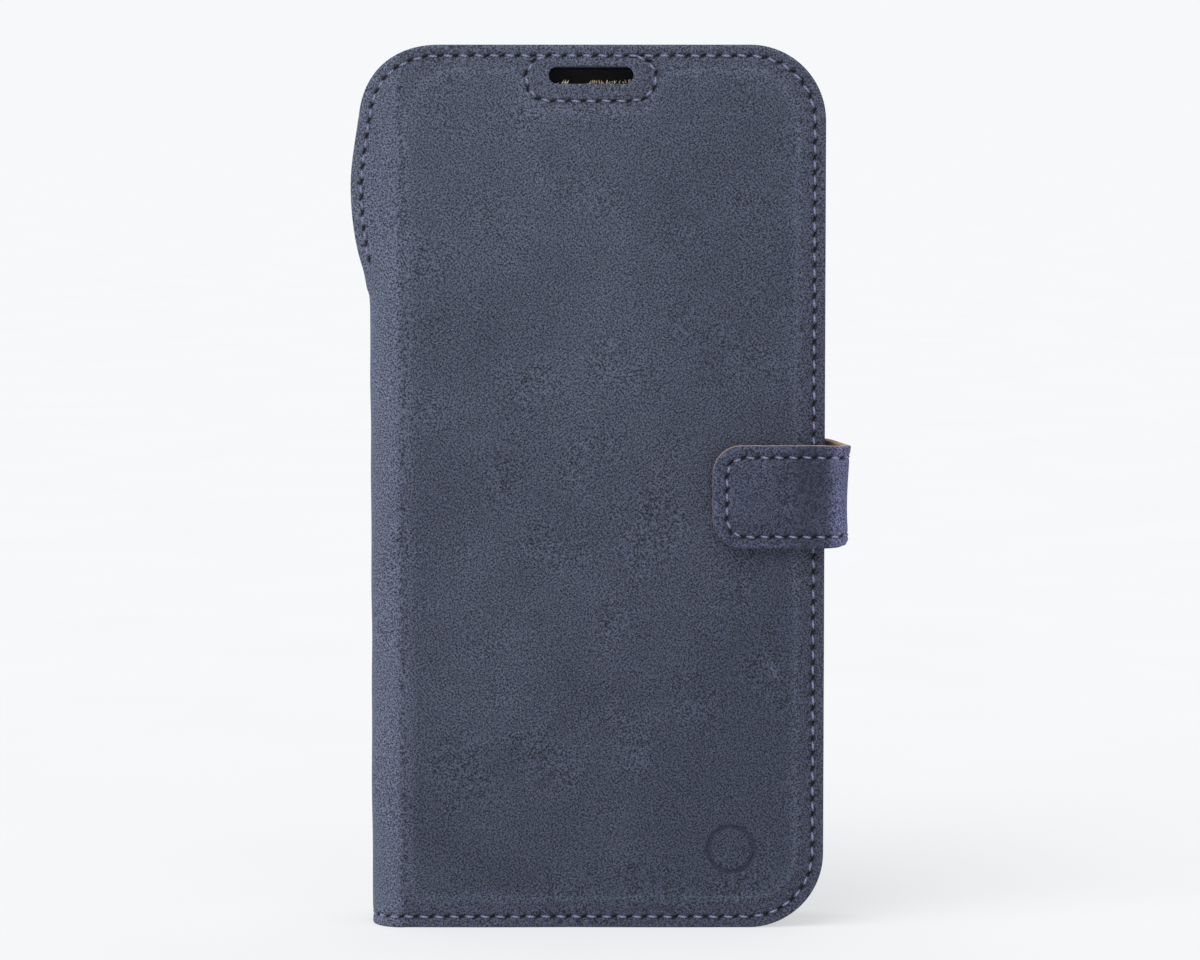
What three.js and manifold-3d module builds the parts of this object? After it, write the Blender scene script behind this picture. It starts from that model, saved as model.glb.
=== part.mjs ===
// A phone wallet case: a leather book cover with a spine, note and card pockets, a phone tray and a
// magnetic strap. Millimetres, +Z up. It stands on its bottom edge with the front cover facing -Y.
import * as THREE from 'three';
import { mergeVertices } from 'three/addons/utils/BufferGeometryUtils.js';
import Module from 'manifold-3d';

const wasm = await Module();
wasm.setup();

// Driving dimensions. x is measured from the phone's centre line, y from mid depth, z from the bottom.
const PHONE = { width: 78, height: 163.4, depth: 8.75 };
const CASE_HEIGHT = 170;
const FREE_EDGE_X = 44.8;
const SPINE_X = -42.5;
const SPINE_TOP_Z = 122.6;
const FRONT_Y = -9.6;
const REAR_Y = 10;
const CORNER_RADIUS = 14.5;
const SPINE_RADIUS = 6.5;
const FOLD_X = SPINE_X + SPINE_RADIUS;
const FRONT_BEND_Y = FRONT_Y + SPINE_RADIUS;
const REAR_BEND_Y = REAR_Y - SPINE_RADIUS;
const FOLD_SPLIT = THREE.MathUtils.degToRad(45);
const SPLIT_HALF_GAP = THREE.MathUtils.degToRad(2);

// The flare: above the spine the cover's left edge bows out, then runs back in to the spine's top.
const FLARE = {
  topStart: [-29, CASE_HEIGHT],
  cornerControls: [[-38, 170], [-43.2, 164.5]],
  shoulder: [-44.3, 157],
  bowControls: [[-45.4, 150], [-46.1, 146]],
  widest: [-46, 140],
  returnControls: [[-45.8, 132.5], [-44.6, 128]],
  foot: [-42.6, 124],
};

// Sheet thicknesses and the clearance left between stacked sheets.
const LEATHER = 1.1;
const BOARD = 0.9;
const LINING = 0.6;
const THIN_LINING = 0.5;
const POCKET = 0.5;
const PAD = 0.3;
const LAYER_GAP = 0.1;

// Stitching: a thread lies in a groove cut in the leather, set in from the edge.
const STITCH_INSET = 2.1;
const GROOVE_WIDTH = 1.1;
const GROOVE_DEPTH = 0.5;
const THREAD_WIDTH = 0.5;
const THREAD_THICKNESS = 0.3;
const THREAD_SINK = 0.1;

// The earpiece slot near the top of the cover, and the stitching round it.
const SLOT = { width: 16.2, height: 3.3, z: 164.2, threadReach: 12.4, threadLow: 159.3, threadTop: 166.6 };

// The stiffening boards and the pockets.
const BOARDS = { left: -35.6, right: 40, low: 5, top: 165.3, radius: 10, rearTop: 122.5 };
const BOARD_NOTCH = { low: 157.6, lowHalf: 10.7, topHalf: 14.7 };
const NOTE_POCKET = { opening: -33, right: 41.5, low: 5, top: 156, radius: 10 };
const CARD_POCKET = { openings: [-28, -19, -10], right: 41.3, low: 39, top: 131, radius: 3 };
const THUMB_NOTCH_RADIUS = 8;

// The tray that grips the phone.
const TRAY = { wall: 1.3, clearance: 0.1, floor: 1, lip: 1.2, lipThickness: 0.9, floorRear: 6.8, radius: 14 };
const TRAY_CHAMFER = 2.4;
const BAY_CHAMFER = 1.5;
const TRAY_FRONT_EASE = 0.4;
const PHONE_MID_Z = 85;
const CAMERA_WINDOW = { half: 36.5, low: 127.3, high: 160.5, radius: 9 };
const PORT_SLOT = { half: 23, front: -2.2, rear: 3 };
const BUTTON_NOTCH = { rear: 3.1, left: [[106, 142]], right: [[62, 82], [109, 129]] };
const ADHESIVE = { half: 34, low: 8, top: 121, radius: 4 };

// The back panel stops below the camera.
const BACK_TOP_Z = 125.5;
const BACK_TOP_RADIUS = 6;
const BACK_LINING_RIGHT = 43.9;

// The strap: it leaves the back at the free edge, bends round the side and closes on the front.
const STRAP = { low: 73.9, high: 93.6, tip: 23.3, tipRadius: 5.5, bendX: 47, bendRadius: 2.8, front: -12.7 };
const STRAP_ROOT = { left: 40.3, right: 45.3 };
const STRAP_SIDE = { start: [45.4, 7.5], control: [48.8, -2], end: [49.75, -9.5] };
const STRAP_LINING_TRIM = { start: 0.06, end: 0.99 };
const STRAP_STITCH = { upper: 91.4, lower: 76.5, column: 26.1, radius: 3 };
const STRAP_CORE = { inset: 1.3, right: 46.6, radius: 4 };
const CLOSURE = { x: 31.7, z: 84, plateRadius: 6, plateThickness: 0.7, clearance: 0.3 };
const MAGNET = { width: 8, height: 10, radius: 1, thickness: 0.8 };

const CURVE_STEPS = 4;
const TRAY_CURVE_STEPS = 9;
const WELD = 1e-4;

// Depth ranges [front, rear] of the sheets, counted inward from each outer face.
function layers(outerY, inward, thicknesses) {
  let y = outerY;
  return thicknesses.map((thickness) => {
    const range = [y, y + inward * thickness].sort((a, b) => a - b);
    y += inward * (thickness + LAYER_GAP);
    return range;
  });
}

const [COVER_LEATHER_Y, COVER_BOARD_Y, COVER_LINING_Y, NOTE_Y, ...CARD_Y] =
  layers(FRONT_Y, 1, [LEATHER, BOARD, LINING, LINING, POCKET, POCKET, POCKET]);
const [BACK_LEATHER_Y, BACK_BOARD_Y, BACK_LINING_Y, PAD_Y] =
  layers(REAR_Y, -1, [LEATHER, BOARD, THIN_LINING, PAD]);
const [FLAP_LEATHER_Y, FLAP_CORE_Y, FLAP_LINING_Y] = layers(STRAP.front, 1, [LEATHER, 1, LINING]);

// ---- Basic solids -------------------------------------------------------------------------------

// A sheet facing -Y: an outline in x and z, solid between two depths.
function sheet(shape, [front, rear]) {
  const geometry = new THREE.ExtrudeGeometry(shape, {
    depth: rear - front,
    bevelEnabled: false,
    curveSegments: CURVE_STEPS,
  });
  geometry.rotateX(Math.PI / 2);
  geometry.translate(0, rear, 0);
  return geometry;
}

// A column: an outline in x and y, solid between two heights.
function column(shape, [low, high]) {
  const geometry = new THREE.ExtrudeGeometry(shape, {
    depth: high - low,
    bevelEnabled: false,
    curveSegments: CURVE_STEPS,
  });
  geometry.translate(0, 0, low);
  return geometry;
}

// A solid whose outline changes with depth: levels are [y, outline points], from front to rear.
function loft(levels) {
  const count = levels[0][1].length;
  const positions = levels.flatMap(([y, points]) => points.flatMap((p) => [p.x, y, p.y]));
  const cap = THREE.ShapeUtils.triangulateShape(levels[0][1], []);
  const rearStart = (levels.length - 1) * count;
  const indices = [];
  for (const [a, b, c] of cap) {
    indices.push(a, b, c);
    indices.push(rearStart + a, rearStart + c, rearStart + b);
  }
  for (let level = 0; level < levels.length - 1; level += 1) {
    for (let i = 0; i < count; i += 1) {
      const a = level * count + i;
      const b = level * count + ((i + 1) % count);
      indices.push(a, a + count, b);
      indices.push(b, a + count, b + count);
    }
  }
  const geometry = new THREE.BufferGeometry();
  geometry.setAttribute('position', new THREE.Float32BufferAttribute(positions, 3));
  geometry.setIndex(indices);
  return geometry;
}

function toManifold(geometry) {
  const bare = geometry.clone();
  bare.deleteAttribute('normal');
  bare.deleteAttribute('uv');
  const merged = mergeVertices(bare, WELD);
  return new wasm.Manifold(new wasm.Mesh({
    numProp: 3,
    vertProperties: new Float32Array(merged.attributes.position.array),
    triVerts: new Uint32Array(merged.index.array),
  }));
}

function toGeometry(solid) {
  const { vertProperties, triVerts } = solid.getMesh();
  const geometry = new THREE.BufferGeometry();
  geometry.setAttribute('position', new THREE.BufferAttribute(vertProperties, 3));
  geometry.setIndex(new THREE.BufferAttribute(triVerts, 1));
  geometry.computeVertexNormals();
  return geometry;
}

// Joins the first list of geometries and cuts the second list out of them.
function build(parts, cuts = []) {
  const joined = parts.map(toManifold).reduce((whole, part) => whole.add(part));
  return toGeometry(cuts.map(toManifold).reduce((whole, cut) => whole.subtract(cut), joined));
}

// ---- Outlines -----------------------------------------------------------------------------------

// A rectangle with a radius on each corner, in the order low-left, low-right, top-right, top-left.
function roundedRectangle(left, right, low, top, radii) {
  const [lowLeft, lowRight, topRight, topLeft] = [0, 1, 2, 3].map((i) => radii[i] ?? radii);
  const path = new THREE.Shape();
  path.moveTo(left + lowLeft, low);
  path.lineTo(right - lowRight, low);
  if (lowRight) path.absarc(right - lowRight, low + lowRight, lowRight, -Math.PI / 2, 0);
  path.lineTo(right, top - topRight);
  if (topRight) path.absarc(right - topRight, top - topRight, topRight, 0, Math.PI / 2);
  path.lineTo(left + topLeft, top);
  if (topLeft) path.absarc(left + topLeft, top - topLeft, topLeft, Math.PI / 2, Math.PI);
  path.lineTo(left, low + lowLeft);
  if (lowLeft) path.absarc(left + lowLeft, low + lowLeft, lowLeft, Math.PI, 1.5 * Math.PI);
  return path;
}

// Moves an open run of points sideways: positive distances go to the left of the direction of travel.
function offsetRun(points, distance) {
  return points.map((point, i) => {
    const before = points[Math.max(i - 1, 0)];
    const after = points[Math.min(i + 1, points.length - 1)];
    const along = after.clone().sub(before).normalize();
    return new THREE.Vector2(point.x - along.y * distance, point.y + along.x * distance);
  });
}

// A strip of constant width that follows a run of points.
function ribbon(points, width) {
  const left = offsetRun(points, width / 2);
  const right = offsetRun(points, -width / 2).reverse();
  return new THREE.Shape([...left, ...right]);
}

// The cover's free edge, from the foot of the fold round the free side and the top to the flare's foot.
function coverEdge() {
  const path = new THREE.Path();
  const right = FREE_EDGE_X - CORNER_RADIUS;
  path.moveTo(FOLD_X, 0);
  path.lineTo(right, 0);
  path.absarc(right, CORNER_RADIUS, CORNER_RADIUS, -Math.PI / 2, 0);
  path.lineTo(FREE_EDGE_X, CASE_HEIGHT - CORNER_RADIUS);
  path.absarc(right, CASE_HEIGHT - CORNER_RADIUS, CORNER_RADIUS, 0, Math.PI / 2);
  path.lineTo(...FLARE.topStart);
  path.bezierCurveTo(...FLARE.cornerControls.flat(), ...FLARE.shoulder);
  path.bezierCurveTo(...FLARE.bowControls.flat(), ...FLARE.widest);
  path.bezierCurveTo(...FLARE.returnControls.flat(), ...FLARE.foot);
  return path.getPoints(CURVE_STEPS);
}

// The cover's flat area: everything but the bend into the spine.
function coverOutline(inset) {
  const edge = offsetRun(coverEdge(), inset);
  const foot = edge[edge.length - 1];
  const step = new THREE.Vector2(foot.x + 2, SPINE_TOP_Z + inset);
  return new THREE.Shape([...edge, step, new THREE.Vector2(FOLD_X, SPINE_TOP_Z - inset)]);
}

function backEdge() {
  const path = new THREE.Path();
  const right = FREE_EDGE_X - CORNER_RADIUS;
  const topRight = FREE_EDGE_X - BACK_TOP_RADIUS;
  path.moveTo(FOLD_X, 0);
  path.lineTo(right, 0);
  path.absarc(right, CORNER_RADIUS, CORNER_RADIUS, -Math.PI / 2, 0);
  path.lineTo(FREE_EDGE_X, BACK_TOP_Z - BACK_TOP_RADIUS);
  path.absarc(topRight, BACK_TOP_Z - BACK_TOP_RADIUS, BACK_TOP_RADIUS, 0, Math.PI / 2);
  path.lineTo(FOLD_X, BACK_TOP_Z);
  return path.getPoints(CURVE_STEPS);
}

function slotOutline() {
  const half = SLOT.width / 2;
  const radius = SLOT.height / 2;
  return roundedRectangle(-half, half, SLOT.z - radius, SLOT.z + radius, radius);
}

function strapFlapOutline(inset, right, radius) {
  const low = STRAP.low + inset;
  const high = STRAP.high - inset;
  return roundedRectangle(STRAP.tip + inset, right, low, high, [radius, 0, 0, radius]);
}

// The bend beside a fold, seen in plan: side is -1 at the front of the spine and 1 at the rear. The
// sheet is flat as far as flatX, and turns through the half of the bend that belongs to its panel.
function panelBend(side, outerRadius, thickness, flatX) {
  const centreY = side < 0 ? FRONT_BEND_Y : REAR_BEND_Y;
  const start = side * Math.PI / 2;
  const end = start + side * (FOLD_SPLIT - SPLIT_HALF_GAP);
  const innerRadius = outerRadius - thickness;
  const shape = new THREE.Shape();
  shape.moveTo(flatX, centreY + side * outerRadius);
  shape.lineTo(FOLD_X, centreY + side * outerRadius);
  shape.absarc(FOLD_X, centreY, outerRadius, start, end, side < 0);
  shape.absarc(FOLD_X, centreY, innerRadius, end, start, side > 0);
  shape.lineTo(flatX, centreY + side * innerRadius);
  return shape;
}

// The spine in plan: half of each bend and the flat between them.
function spineSection(outerRadius, thickness) {
  const front = -Math.PI / 2 - FOLD_SPLIT - SPLIT_HALF_GAP;
  const rear = Math.PI / 2 + FOLD_SPLIT + SPLIT_HALF_GAP;
  const innerRadius = outerRadius - thickness;
  const shape = new THREE.Shape();
  shape.absarc(FOLD_X, FRONT_BEND_Y, outerRadius, front, -Math.PI, true);
  shape.absarc(FOLD_X, REAR_BEND_Y, outerRadius, Math.PI, rear, true);
  shape.absarc(FOLD_X, REAR_BEND_Y, innerRadius, rear, Math.PI, false);
  shape.absarc(FOLD_X, FRONT_BEND_Y, innerRadius, -Math.PI, front, false);
  return shape;
}

// The strap's side run in plan, a band that starts a distance inside the outer face.
function strapSideSection(depth, thickness, { start = 0, end = 1 } = {}) {
  const run = new THREE.QuadraticBezierCurve(
    new THREE.Vector2(...STRAP_SIDE.start),
    new THREE.Vector2(...STRAP_SIDE.control),
    new THREE.Vector2(...STRAP_SIDE.end),
  );
  const steps = 2 * CURVE_STEPS;
  const points = Array.from({ length: steps + 1 }, (_, i) => run.getPoint(start + (end - start) * i / steps));
  const outer = offsetRun(points, -depth);
  const inner = offsetRun(points, -depth - thickness).reverse();
  return new THREE.Shape([...outer, ...inner]);
}

// ---- Stitching ----------------------------------------------------------------------------------

// Depth range of a groove or a thread below an outer face, for a face that looks along -Y or +Y.
function sunkRange(outerY, inward, sink, thickness) {
  return [outerY + inward * sink, outerY + inward * (sink + thickness)].sort((a, b) => a - b);
}

function grooveRange(outerY, inward) {
  return sunkRange(outerY, inward, -GROOVE_DEPTH, 2 * GROOVE_DEPTH);
}

function threadRange(outerY, inward) {
  return sunkRange(outerY, inward, THREAD_SINK, THREAD_THICKNESS);
}

function bandHeights(z, width) {
  return [z - width / 2, z + width / 2];
}

function coverStitchRun() {
  const run = offsetRun(coverEdge(), STITCH_INSET);
  const lowestOnFlare = FLARE.foot[1] + 2 * STITCH_INSET;
  return run.filter((p) => p.x > FOLD_X || p.y > lowestOnFlare);
}

function backStitchRun() {
  return offsetRun(backEdge(), STITCH_INSET);
}

function slotStitchRun() {
  const { threadReach: reach, threadLow: low, threadTop: top } = SLOT;
  const radius = (top - low) / 2;
  const path = new THREE.Path();
  path.moveTo(-reach, top);
  path.lineTo(-reach, low + radius);
  path.absarc(-reach + radius, low + radius, radius, Math.PI, 1.5 * Math.PI);
  path.lineTo(reach - radius, low);
  path.absarc(reach - radius, low + radius, radius, -Math.PI / 2, 0);
  path.lineTo(reach, top);
  return path.getPoints(CURVE_STEPS);
}

function flapStitchRun() {
  const { upper, lower, column: left, radius } = STRAP_STITCH;
  const path = new THREE.Path();
  path.moveTo(STRAP.bendX, upper);
  path.lineTo(left + radius, upper);
  path.absarc(left + radius, upper - radius, radius, Math.PI / 2, Math.PI);
  path.lineTo(left, lower + radius);
  path.absarc(left + radius, lower + radius, radius, Math.PI, 1.5 * Math.PI);
  path.lineTo(STRAP.bendX, lower);
  return path.getPoints(CURVE_STEPS);
}

function frontThread(run) {
  return sheet(ribbon(run, THREAD_WIDTH), threadRange(FRONT_Y, 1));
}

function frontGroove(run) {
  return sheet(ribbon(run, GROOVE_WIDTH), grooveRange(FRONT_Y, 1));
}

// ---- Cover --------------------------------------------------------------------------------------

function coverLeather() {
  const flat = sheet(coverOutline(0), COVER_LEATHER_Y);
  const bend = column(panelBend(-1, SPINE_RADIUS, LEATHER, FOLD_X + 1), [0, SPINE_TOP_Z]);
  const slot = sheet(slotOutline(), [FRONT_Y - 1, FRONT_Y + LEATHER + 1]);
  return build([flat, bend], [slot, frontGroove(coverStitchRun()), frontGroove(slotStitchRun())]);
}

function coverBoard() {
  const { left, right, low, top, radius } = BOARDS;
  const panel = sheet(roundedRectangle(left, right, low, top, [1, radius, radius, 1]), COVER_BOARD_Y);
  const notch = new THREE.Shape([
    new THREE.Vector2(-BOARD_NOTCH.lowHalf, BOARD_NOTCH.low),
    new THREE.Vector2(BOARD_NOTCH.lowHalf, BOARD_NOTCH.low),
    new THREE.Vector2(BOARD_NOTCH.topHalf, top + 1),
    new THREE.Vector2(-BOARD_NOTCH.topHalf, top + 1),
  ]);
  const [front, rear] = COVER_BOARD_Y;
  const through = [front - 1, rear + 1];
  const seat = disc(CLOSURE.plateRadius + CLOSURE.clearance, through);
  return build([panel], [sheet(notch, through), seat]);
}

function disc(radius, [front, rear]) {
  const geometry = new THREE.CylinderGeometry(radius, radius, rear - front, 4 * CURVE_STEPS);
  geometry.translate(CLOSURE.x, (front + rear) / 2, CLOSURE.z);
  return geometry;
}

function closurePlate() {
  const front = COVER_BOARD_Y[0] + LAYER_GAP;
  return disc(CLOSURE.plateRadius, [front, front + CLOSURE.plateThickness]);
}

function coverLining() {
  const edge = LAYER_GAP * 3;
  const outerRadius = FRONT_BEND_Y - COVER_LINING_Y[0];
  const flat = sheet(coverOutline(edge), COVER_LINING_Y);
  const bendShape = panelBend(-1, outerRadius, LINING, FOLD_X + 1);
  const bend = column(bendShape, [edge, SPINE_TOP_Z - edge]);
  const slot = sheet(slotOutline(), [COVER_LINING_Y[0] - 1, COVER_LINING_Y[1] + 1]);
  return build([flat, bend], [slot]);
}

// A pocket's front: a panel open towards the spine, with a thumb notch in its open edge.
function pocketPanel({ opening, right, low, top, radius }, range) {
  const panel = sheet(roundedRectangle(opening, right, low, top, [0.5, radius, radius, 0.5]), range);
  const notch = new THREE.Shape();
  notch.absarc(opening - THUMB_NOTCH_RADIUS / 2, PHONE_MID_Z, THUMB_NOTCH_RADIUS, 0, 2 * Math.PI);
  return build([panel], [sheet(notch, [range[0] - 1, range[1] + 1])]);
}

// ---- Spine --------------------------------------------------------------------------------------

const SPINE_STITCH_HEIGHTS = { bottom: STITCH_INSET, top: SPINE_TOP_Z - STITCH_INSET };

function spineLeather() {
  const body = column(spineSection(SPINE_RADIUS, LEATHER), [0, SPINE_TOP_Z]);
  const grooveShape = spineSection(SPINE_RADIUS + GROOVE_DEPTH, 2 * GROOVE_DEPTH);
  const grooves = Object.values(SPINE_STITCH_HEIGHTS).map((z) => (
    column(grooveShape, bandHeights(z, GROOVE_WIDTH))
  ));
  return build([body], grooves);
}

function spineLining() {
  const radius = SPINE_RADIUS - LEATHER - LAYER_GAP;
  const edge = LAYER_GAP * 3;
  return column(spineSection(radius, THIN_LINING), [edge, SPINE_TOP_Z - edge]);
}

function spineThread(z) {
  const shape = spineSection(SPINE_RADIUS - THREAD_SINK, THREAD_THICKNESS);
  return column(shape, bandHeights(z, THREAD_WIDTH));
}

// ---- Back ---------------------------------------------------------------------------------------

function backLeather() {
  const flat = sheet(new THREE.Shape(backEdge()), BACK_LEATHER_Y);
  const bend = column(panelBend(1, SPINE_RADIUS, LEATHER, FOLD_X + 1), [0, SPINE_TOP_Z]);
  const groove = sheet(ribbon(backStitchRun(), GROOVE_WIDTH), grooveRange(REAR_Y, -1));
  return build([flat, bend], [groove]);
}

function backThread() {
  return sheet(ribbon(backStitchRun(), THREAD_WIDTH), threadRange(REAR_Y, -1));
}

function backBoard() {
  const { left, right, low, radius, rearTop } = BOARDS;
  return sheet(roundedRectangle(left, right, low, rearTop, [1, radius, 4, 1]), BACK_BOARD_Y);
}

function backLining() {
  const edge = LAYER_GAP * 3;
  const radii = [0, CORNER_RADIUS, BACK_TOP_RADIUS, 0];
  const outline = roundedRectangle(FOLD_X, BACK_LINING_RIGHT, edge, BACK_TOP_Z - edge, radii);
  return sheet(outline, BACK_LINING_Y);
}

function adhesivePad() {
  const { half, low, top, radius } = ADHESIVE;
  return sheet(roundedRectangle(-half, half, low, top, radius), PAD_Y);
}

function strapRootTab() {
  const outline = roundedRectangle(STRAP_ROOT.left, STRAP_ROOT.right, STRAP.low, STRAP.high, 0);
  return sheet(outline, BACK_BOARD_Y);
}

// ---- Phone tray ---------------------------------------------------------------------------------

const BAY_HALF_WIDTH = PHONE.width / 2 + TRAY.clearance;
const BAY_HALF_HEIGHT = PHONE.height / 2 + TRAY.clearance;
const BAY_REAR = TRAY.floorRear - TRAY.floor;
const BAY_FRONT = BAY_REAR - PHONE.depth - TRAY.clearance / 2;
const TRAY_FRONT = BAY_FRONT - TRAY.lipThickness;

// The phone's outline grown by a margin on every side; a negative margin shrinks it.
function phoneOutline(margin) {
  const halfWidth = BAY_HALF_WIDTH + margin;
  const low = PHONE_MID_Z - BAY_HALF_HEIGHT - margin;
  const high = PHONE_MID_Z + BAY_HALF_HEIGHT + margin;
  const radius = TRAY.radius - TRAY.wall + margin;
  return roundedRectangle(-halfWidth, halfWidth, low, high, radius).getPoints(TRAY_CURVE_STEPS);
}

// The same outline as a ring of distinct points, for lofting.
function phoneRing(margin) {
  const points = phoneOutline(margin);
  return points.filter((p, i) => p.distanceTo(points[(i + 1) % points.length]) > WELD);
}

// Notches in the side walls for the phone's buttons, open towards the cover.
function buttonNotches() {
  const outer = BAY_HALF_WIDTH + TRAY.wall + 1;
  const inner = BAY_HALF_WIDTH - TRAY.lip - 1;
  const front = TRAY_FRONT - 1;
  const { rear, left, right } = BUTTON_NOTCH;
  const onLeft = roundedRectangle(-outer, -inner, front, rear, 0.5);
  const onRight = roundedRectangle(inner, outer, front, rear, 0.5);
  return [...left.map((span) => column(onLeft, span)), ...right.map((span) => column(onRight, span))];
}

function phoneTray() {
  const shell = loft([
    [TRAY_FRONT, phoneRing(TRAY.wall - TRAY_FRONT_EASE)],
    [TRAY_FRONT + TRAY_FRONT_EASE, phoneRing(TRAY.wall)],
    [TRAY.floorRear - TRAY_CHAMFER, phoneRing(TRAY.wall)],
    [TRAY.floorRear, phoneRing(TRAY.wall - TRAY_CHAMFER)],
  ]);
  const bay = loft([
    [BAY_FRONT, phoneRing(0)],
    [BAY_REAR - BAY_CHAMFER, phoneRing(0)],
    [BAY_REAR, phoneRing(-BAY_CHAMFER)],
  ]);
  const mouth = sheet(new THREE.Shape(phoneOutline(-TRAY.lip)), [TRAY_FRONT - 1, BAY_FRONT + 1]);
  const { half, low, high, radius } = CAMERA_WINDOW;
  const windowOutline = roundedRectangle(-half, half, low, high, radius).getPoints(TRAY_CURVE_STEPS);
  const windowShape = new THREE.Shape(windowOutline);
  const camera = sheet(windowShape, [BAY_REAR - 1, TRAY.floorRear + 1]);
  const bottom = PHONE_MID_Z - BAY_HALF_HEIGHT;
  const portShape = roundedRectangle(-PORT_SLOT.half, PORT_SLOT.half, PORT_SLOT.front, PORT_SLOT.rear, 1.5);
  const port = column(portShape, [bottom - TRAY.wall - 1, bottom + 1]);
  return build([shell], [bay, mouth, camera, port, ...buttonNotches()]);
}

// ---- Strap --------------------------------------------------------------------------------------

const STRAP_HEIGHTS = [STRAP.low, STRAP.high];
const STRAP_STITCH_ROWS = { upper: STRAP_STITCH.upper, lower: STRAP_STITCH.lower };

function strapSideLeather() {
  const body = column(strapSideSection(0, LEATHER), STRAP_HEIGHTS);
  const grooveShape = strapSideSection(-GROOVE_DEPTH, 2 * GROOVE_DEPTH);
  const grooves = Object.values(STRAP_STITCH_ROWS).map((z) => (
    column(grooveShape, bandHeights(z, GROOVE_WIDTH))
  ));
  return build([body], grooves);
}

function strapSideLining() {
  const shape = strapSideSection(LEATHER + LAYER_GAP, LINING, STRAP_LINING_TRIM);
  return column(shape, [STRAP.low + LAYER_GAP, STRAP.high - LAYER_GAP]);
}

function strapSideThread(z) {
  return column(strapSideSection(THREAD_SINK, THREAD_THICKNESS), bandHeights(z, THREAD_WIDTH));
}

// The quarter turn where the flap meets the side run.
function strapBendShape() {
  const centreY = STRAP.front + STRAP.bendRadius;
  const shape = new THREE.Shape();
  shape.moveTo(STRAP.bendX - 1, STRAP.front);
  shape.absarc(STRAP.bendX, centreY, STRAP.bendRadius, -Math.PI / 2, 0);
  shape.absarc(STRAP.bendX, centreY, STRAP.bendRadius - LEATHER, 0, -Math.PI / 2, true);
  shape.lineTo(STRAP.bendX - 1, STRAP.front + LEATHER);
  return shape;
}

function strapFlapLeather() {
  const flat = sheet(strapFlapOutline(0, STRAP.bendX, STRAP.tipRadius), FLAP_LEATHER_Y);
  const bend = column(strapBendShape(), STRAP_HEIGHTS);
  const groove = sheet(ribbon(flapStitchRun(), GROOVE_WIDTH), grooveRange(STRAP.front, 1));
  return build([flat, bend], [groove]);
}

function strapFlapThread() {
  return sheet(ribbon(flapStitchRun(), THREAD_WIDTH), threadRange(STRAP.front, 1));
}

function magnetOutline(margin) {
  const halfWidth = MAGNET.width / 2 + margin;
  const halfHeight = MAGNET.height / 2 + margin;
  const { x, z } = CLOSURE;
  return roundedRectangle(x - halfWidth, x + halfWidth, z - halfHeight, z + halfHeight, MAGNET.radius);
}

function strapFlapCore() {
  const [front, rear] = FLAP_CORE_Y;
  const body = sheet(strapFlapOutline(STRAP_CORE.inset, STRAP_CORE.right, STRAP_CORE.radius), FLAP_CORE_Y);
  return build([body], [sheet(magnetOutline(CLOSURE.clearance), [front - 1, rear + 1])]);
}

function strapMagnet() {
  const front = FLAP_CORE_Y[0] + LAYER_GAP;
  return sheet(magnetOutline(0), [front, front + MAGNET.thickness]);
}

function strapFlapLining() {
  return sheet(strapFlapOutline(LAYER_GAP, STRAP.bendX, STRAP.tipRadius), FLAP_LINING_Y);
}

// ---- Assembly -----------------------------------------------------------------------------------

const LOOKS = {
  leather: { color: 0x494f5f, roughness: 0.85, metalness: 0 },
  suede: { color: 0xa2744a, roughness: 0.95, metalness: 0 },
  lining: { color: 0x3b3f4b, roughness: 0.95, metalness: 0 },
  board: { color: 0x8a7f70, roughness: 0.9, metalness: 0 },
  thread: { color: 0x4f5590, roughness: 0.5, metalness: 0 },
  tray: { color: 0x17181b, roughness: 0.55, metalness: 0 },
  adhesive: { color: 0xc9c6bd, roughness: 0.8, metalness: 0 },
  steel: { color: 0xa9acb0, roughness: 0.35, metalness: 1 },
  magnet: { color: 0xc4c6c9, roughness: 0.3, metalness: 1 },
  foam: { color: 0x2b2c30, roughness: 0.95, metalness: 0 },
};

const part = new THREE.Group();

function add(name, look, geometry) {
  const mesh = new THREE.Mesh(geometry, new THREE.MeshStandardMaterial(LOOKS[look]));
  mesh.name = name;
  part.add(mesh);
}

add('back_leather', 'leather', backLeather());
add('back_board', 'board', backBoard());
add('back_lining', 'lining', backLining());
add('back_thread', 'thread', backThread());
add('tray_adhesive_pad', 'adhesive', adhesivePad());
add('phone_tray', 'tray', phoneTray());
add('strap_root_tab', 'leather', strapRootTab());

add('spine_leather', 'leather', spineLeather());
add('spine_lining', 'lining', spineLining());
for (const [place, z] of Object.entries(SPINE_STITCH_HEIGHTS)) {
  add(`spine_thread_${place}`, 'thread', spineThread(z));
}

add('cover_leather', 'leather', coverLeather());
add('cover_board', 'board', coverBoard());
add('closure_plate', 'steel', closurePlate());
add('cover_lining', 'lining', coverLining());
add('cover_thread', 'thread', frontThread(coverStitchRun()));
add('speaker_slot_thread', 'thread', frontThread(slotStitchRun()));
add('note_pocket', 'leather', pocketPanel(NOTE_POCKET, NOTE_Y));
CARD_POCKET.openings.forEach((opening, i) => {
  add(`card_pocket_${i + 1}`, 'leather', pocketPanel({ ...CARD_POCKET, opening }, CARD_Y[i]));
});

add('strap_side_leather', 'leather', strapSideLeather());
add('strap_side_lining', 'suede', strapSideLining());
for (const [row, z] of Object.entries(STRAP_STITCH_ROWS)) {
  add(`strap_side_thread_${row}`, 'thread', strapSideThread(z));
}
add('strap_flap_leather', 'leather', strapFlapLeather());
add('strap_flap_core', 'foam', strapFlapCore());
add('strap_flap_lining', 'suede', strapFlapLining());
add('strap_flap_thread', 'thread', strapFlapThread());
add('strap_magnet', 'magnet', strapMagnet());

// The origin is the middle of the whole case's box, at the height of its bottom edge.
const middle = new THREE.Box3().setFromObject(part).getCenter(new THREE.Vector3());
part.position.set(-middle.x, -middle.y, 0);

export default part;
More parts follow.
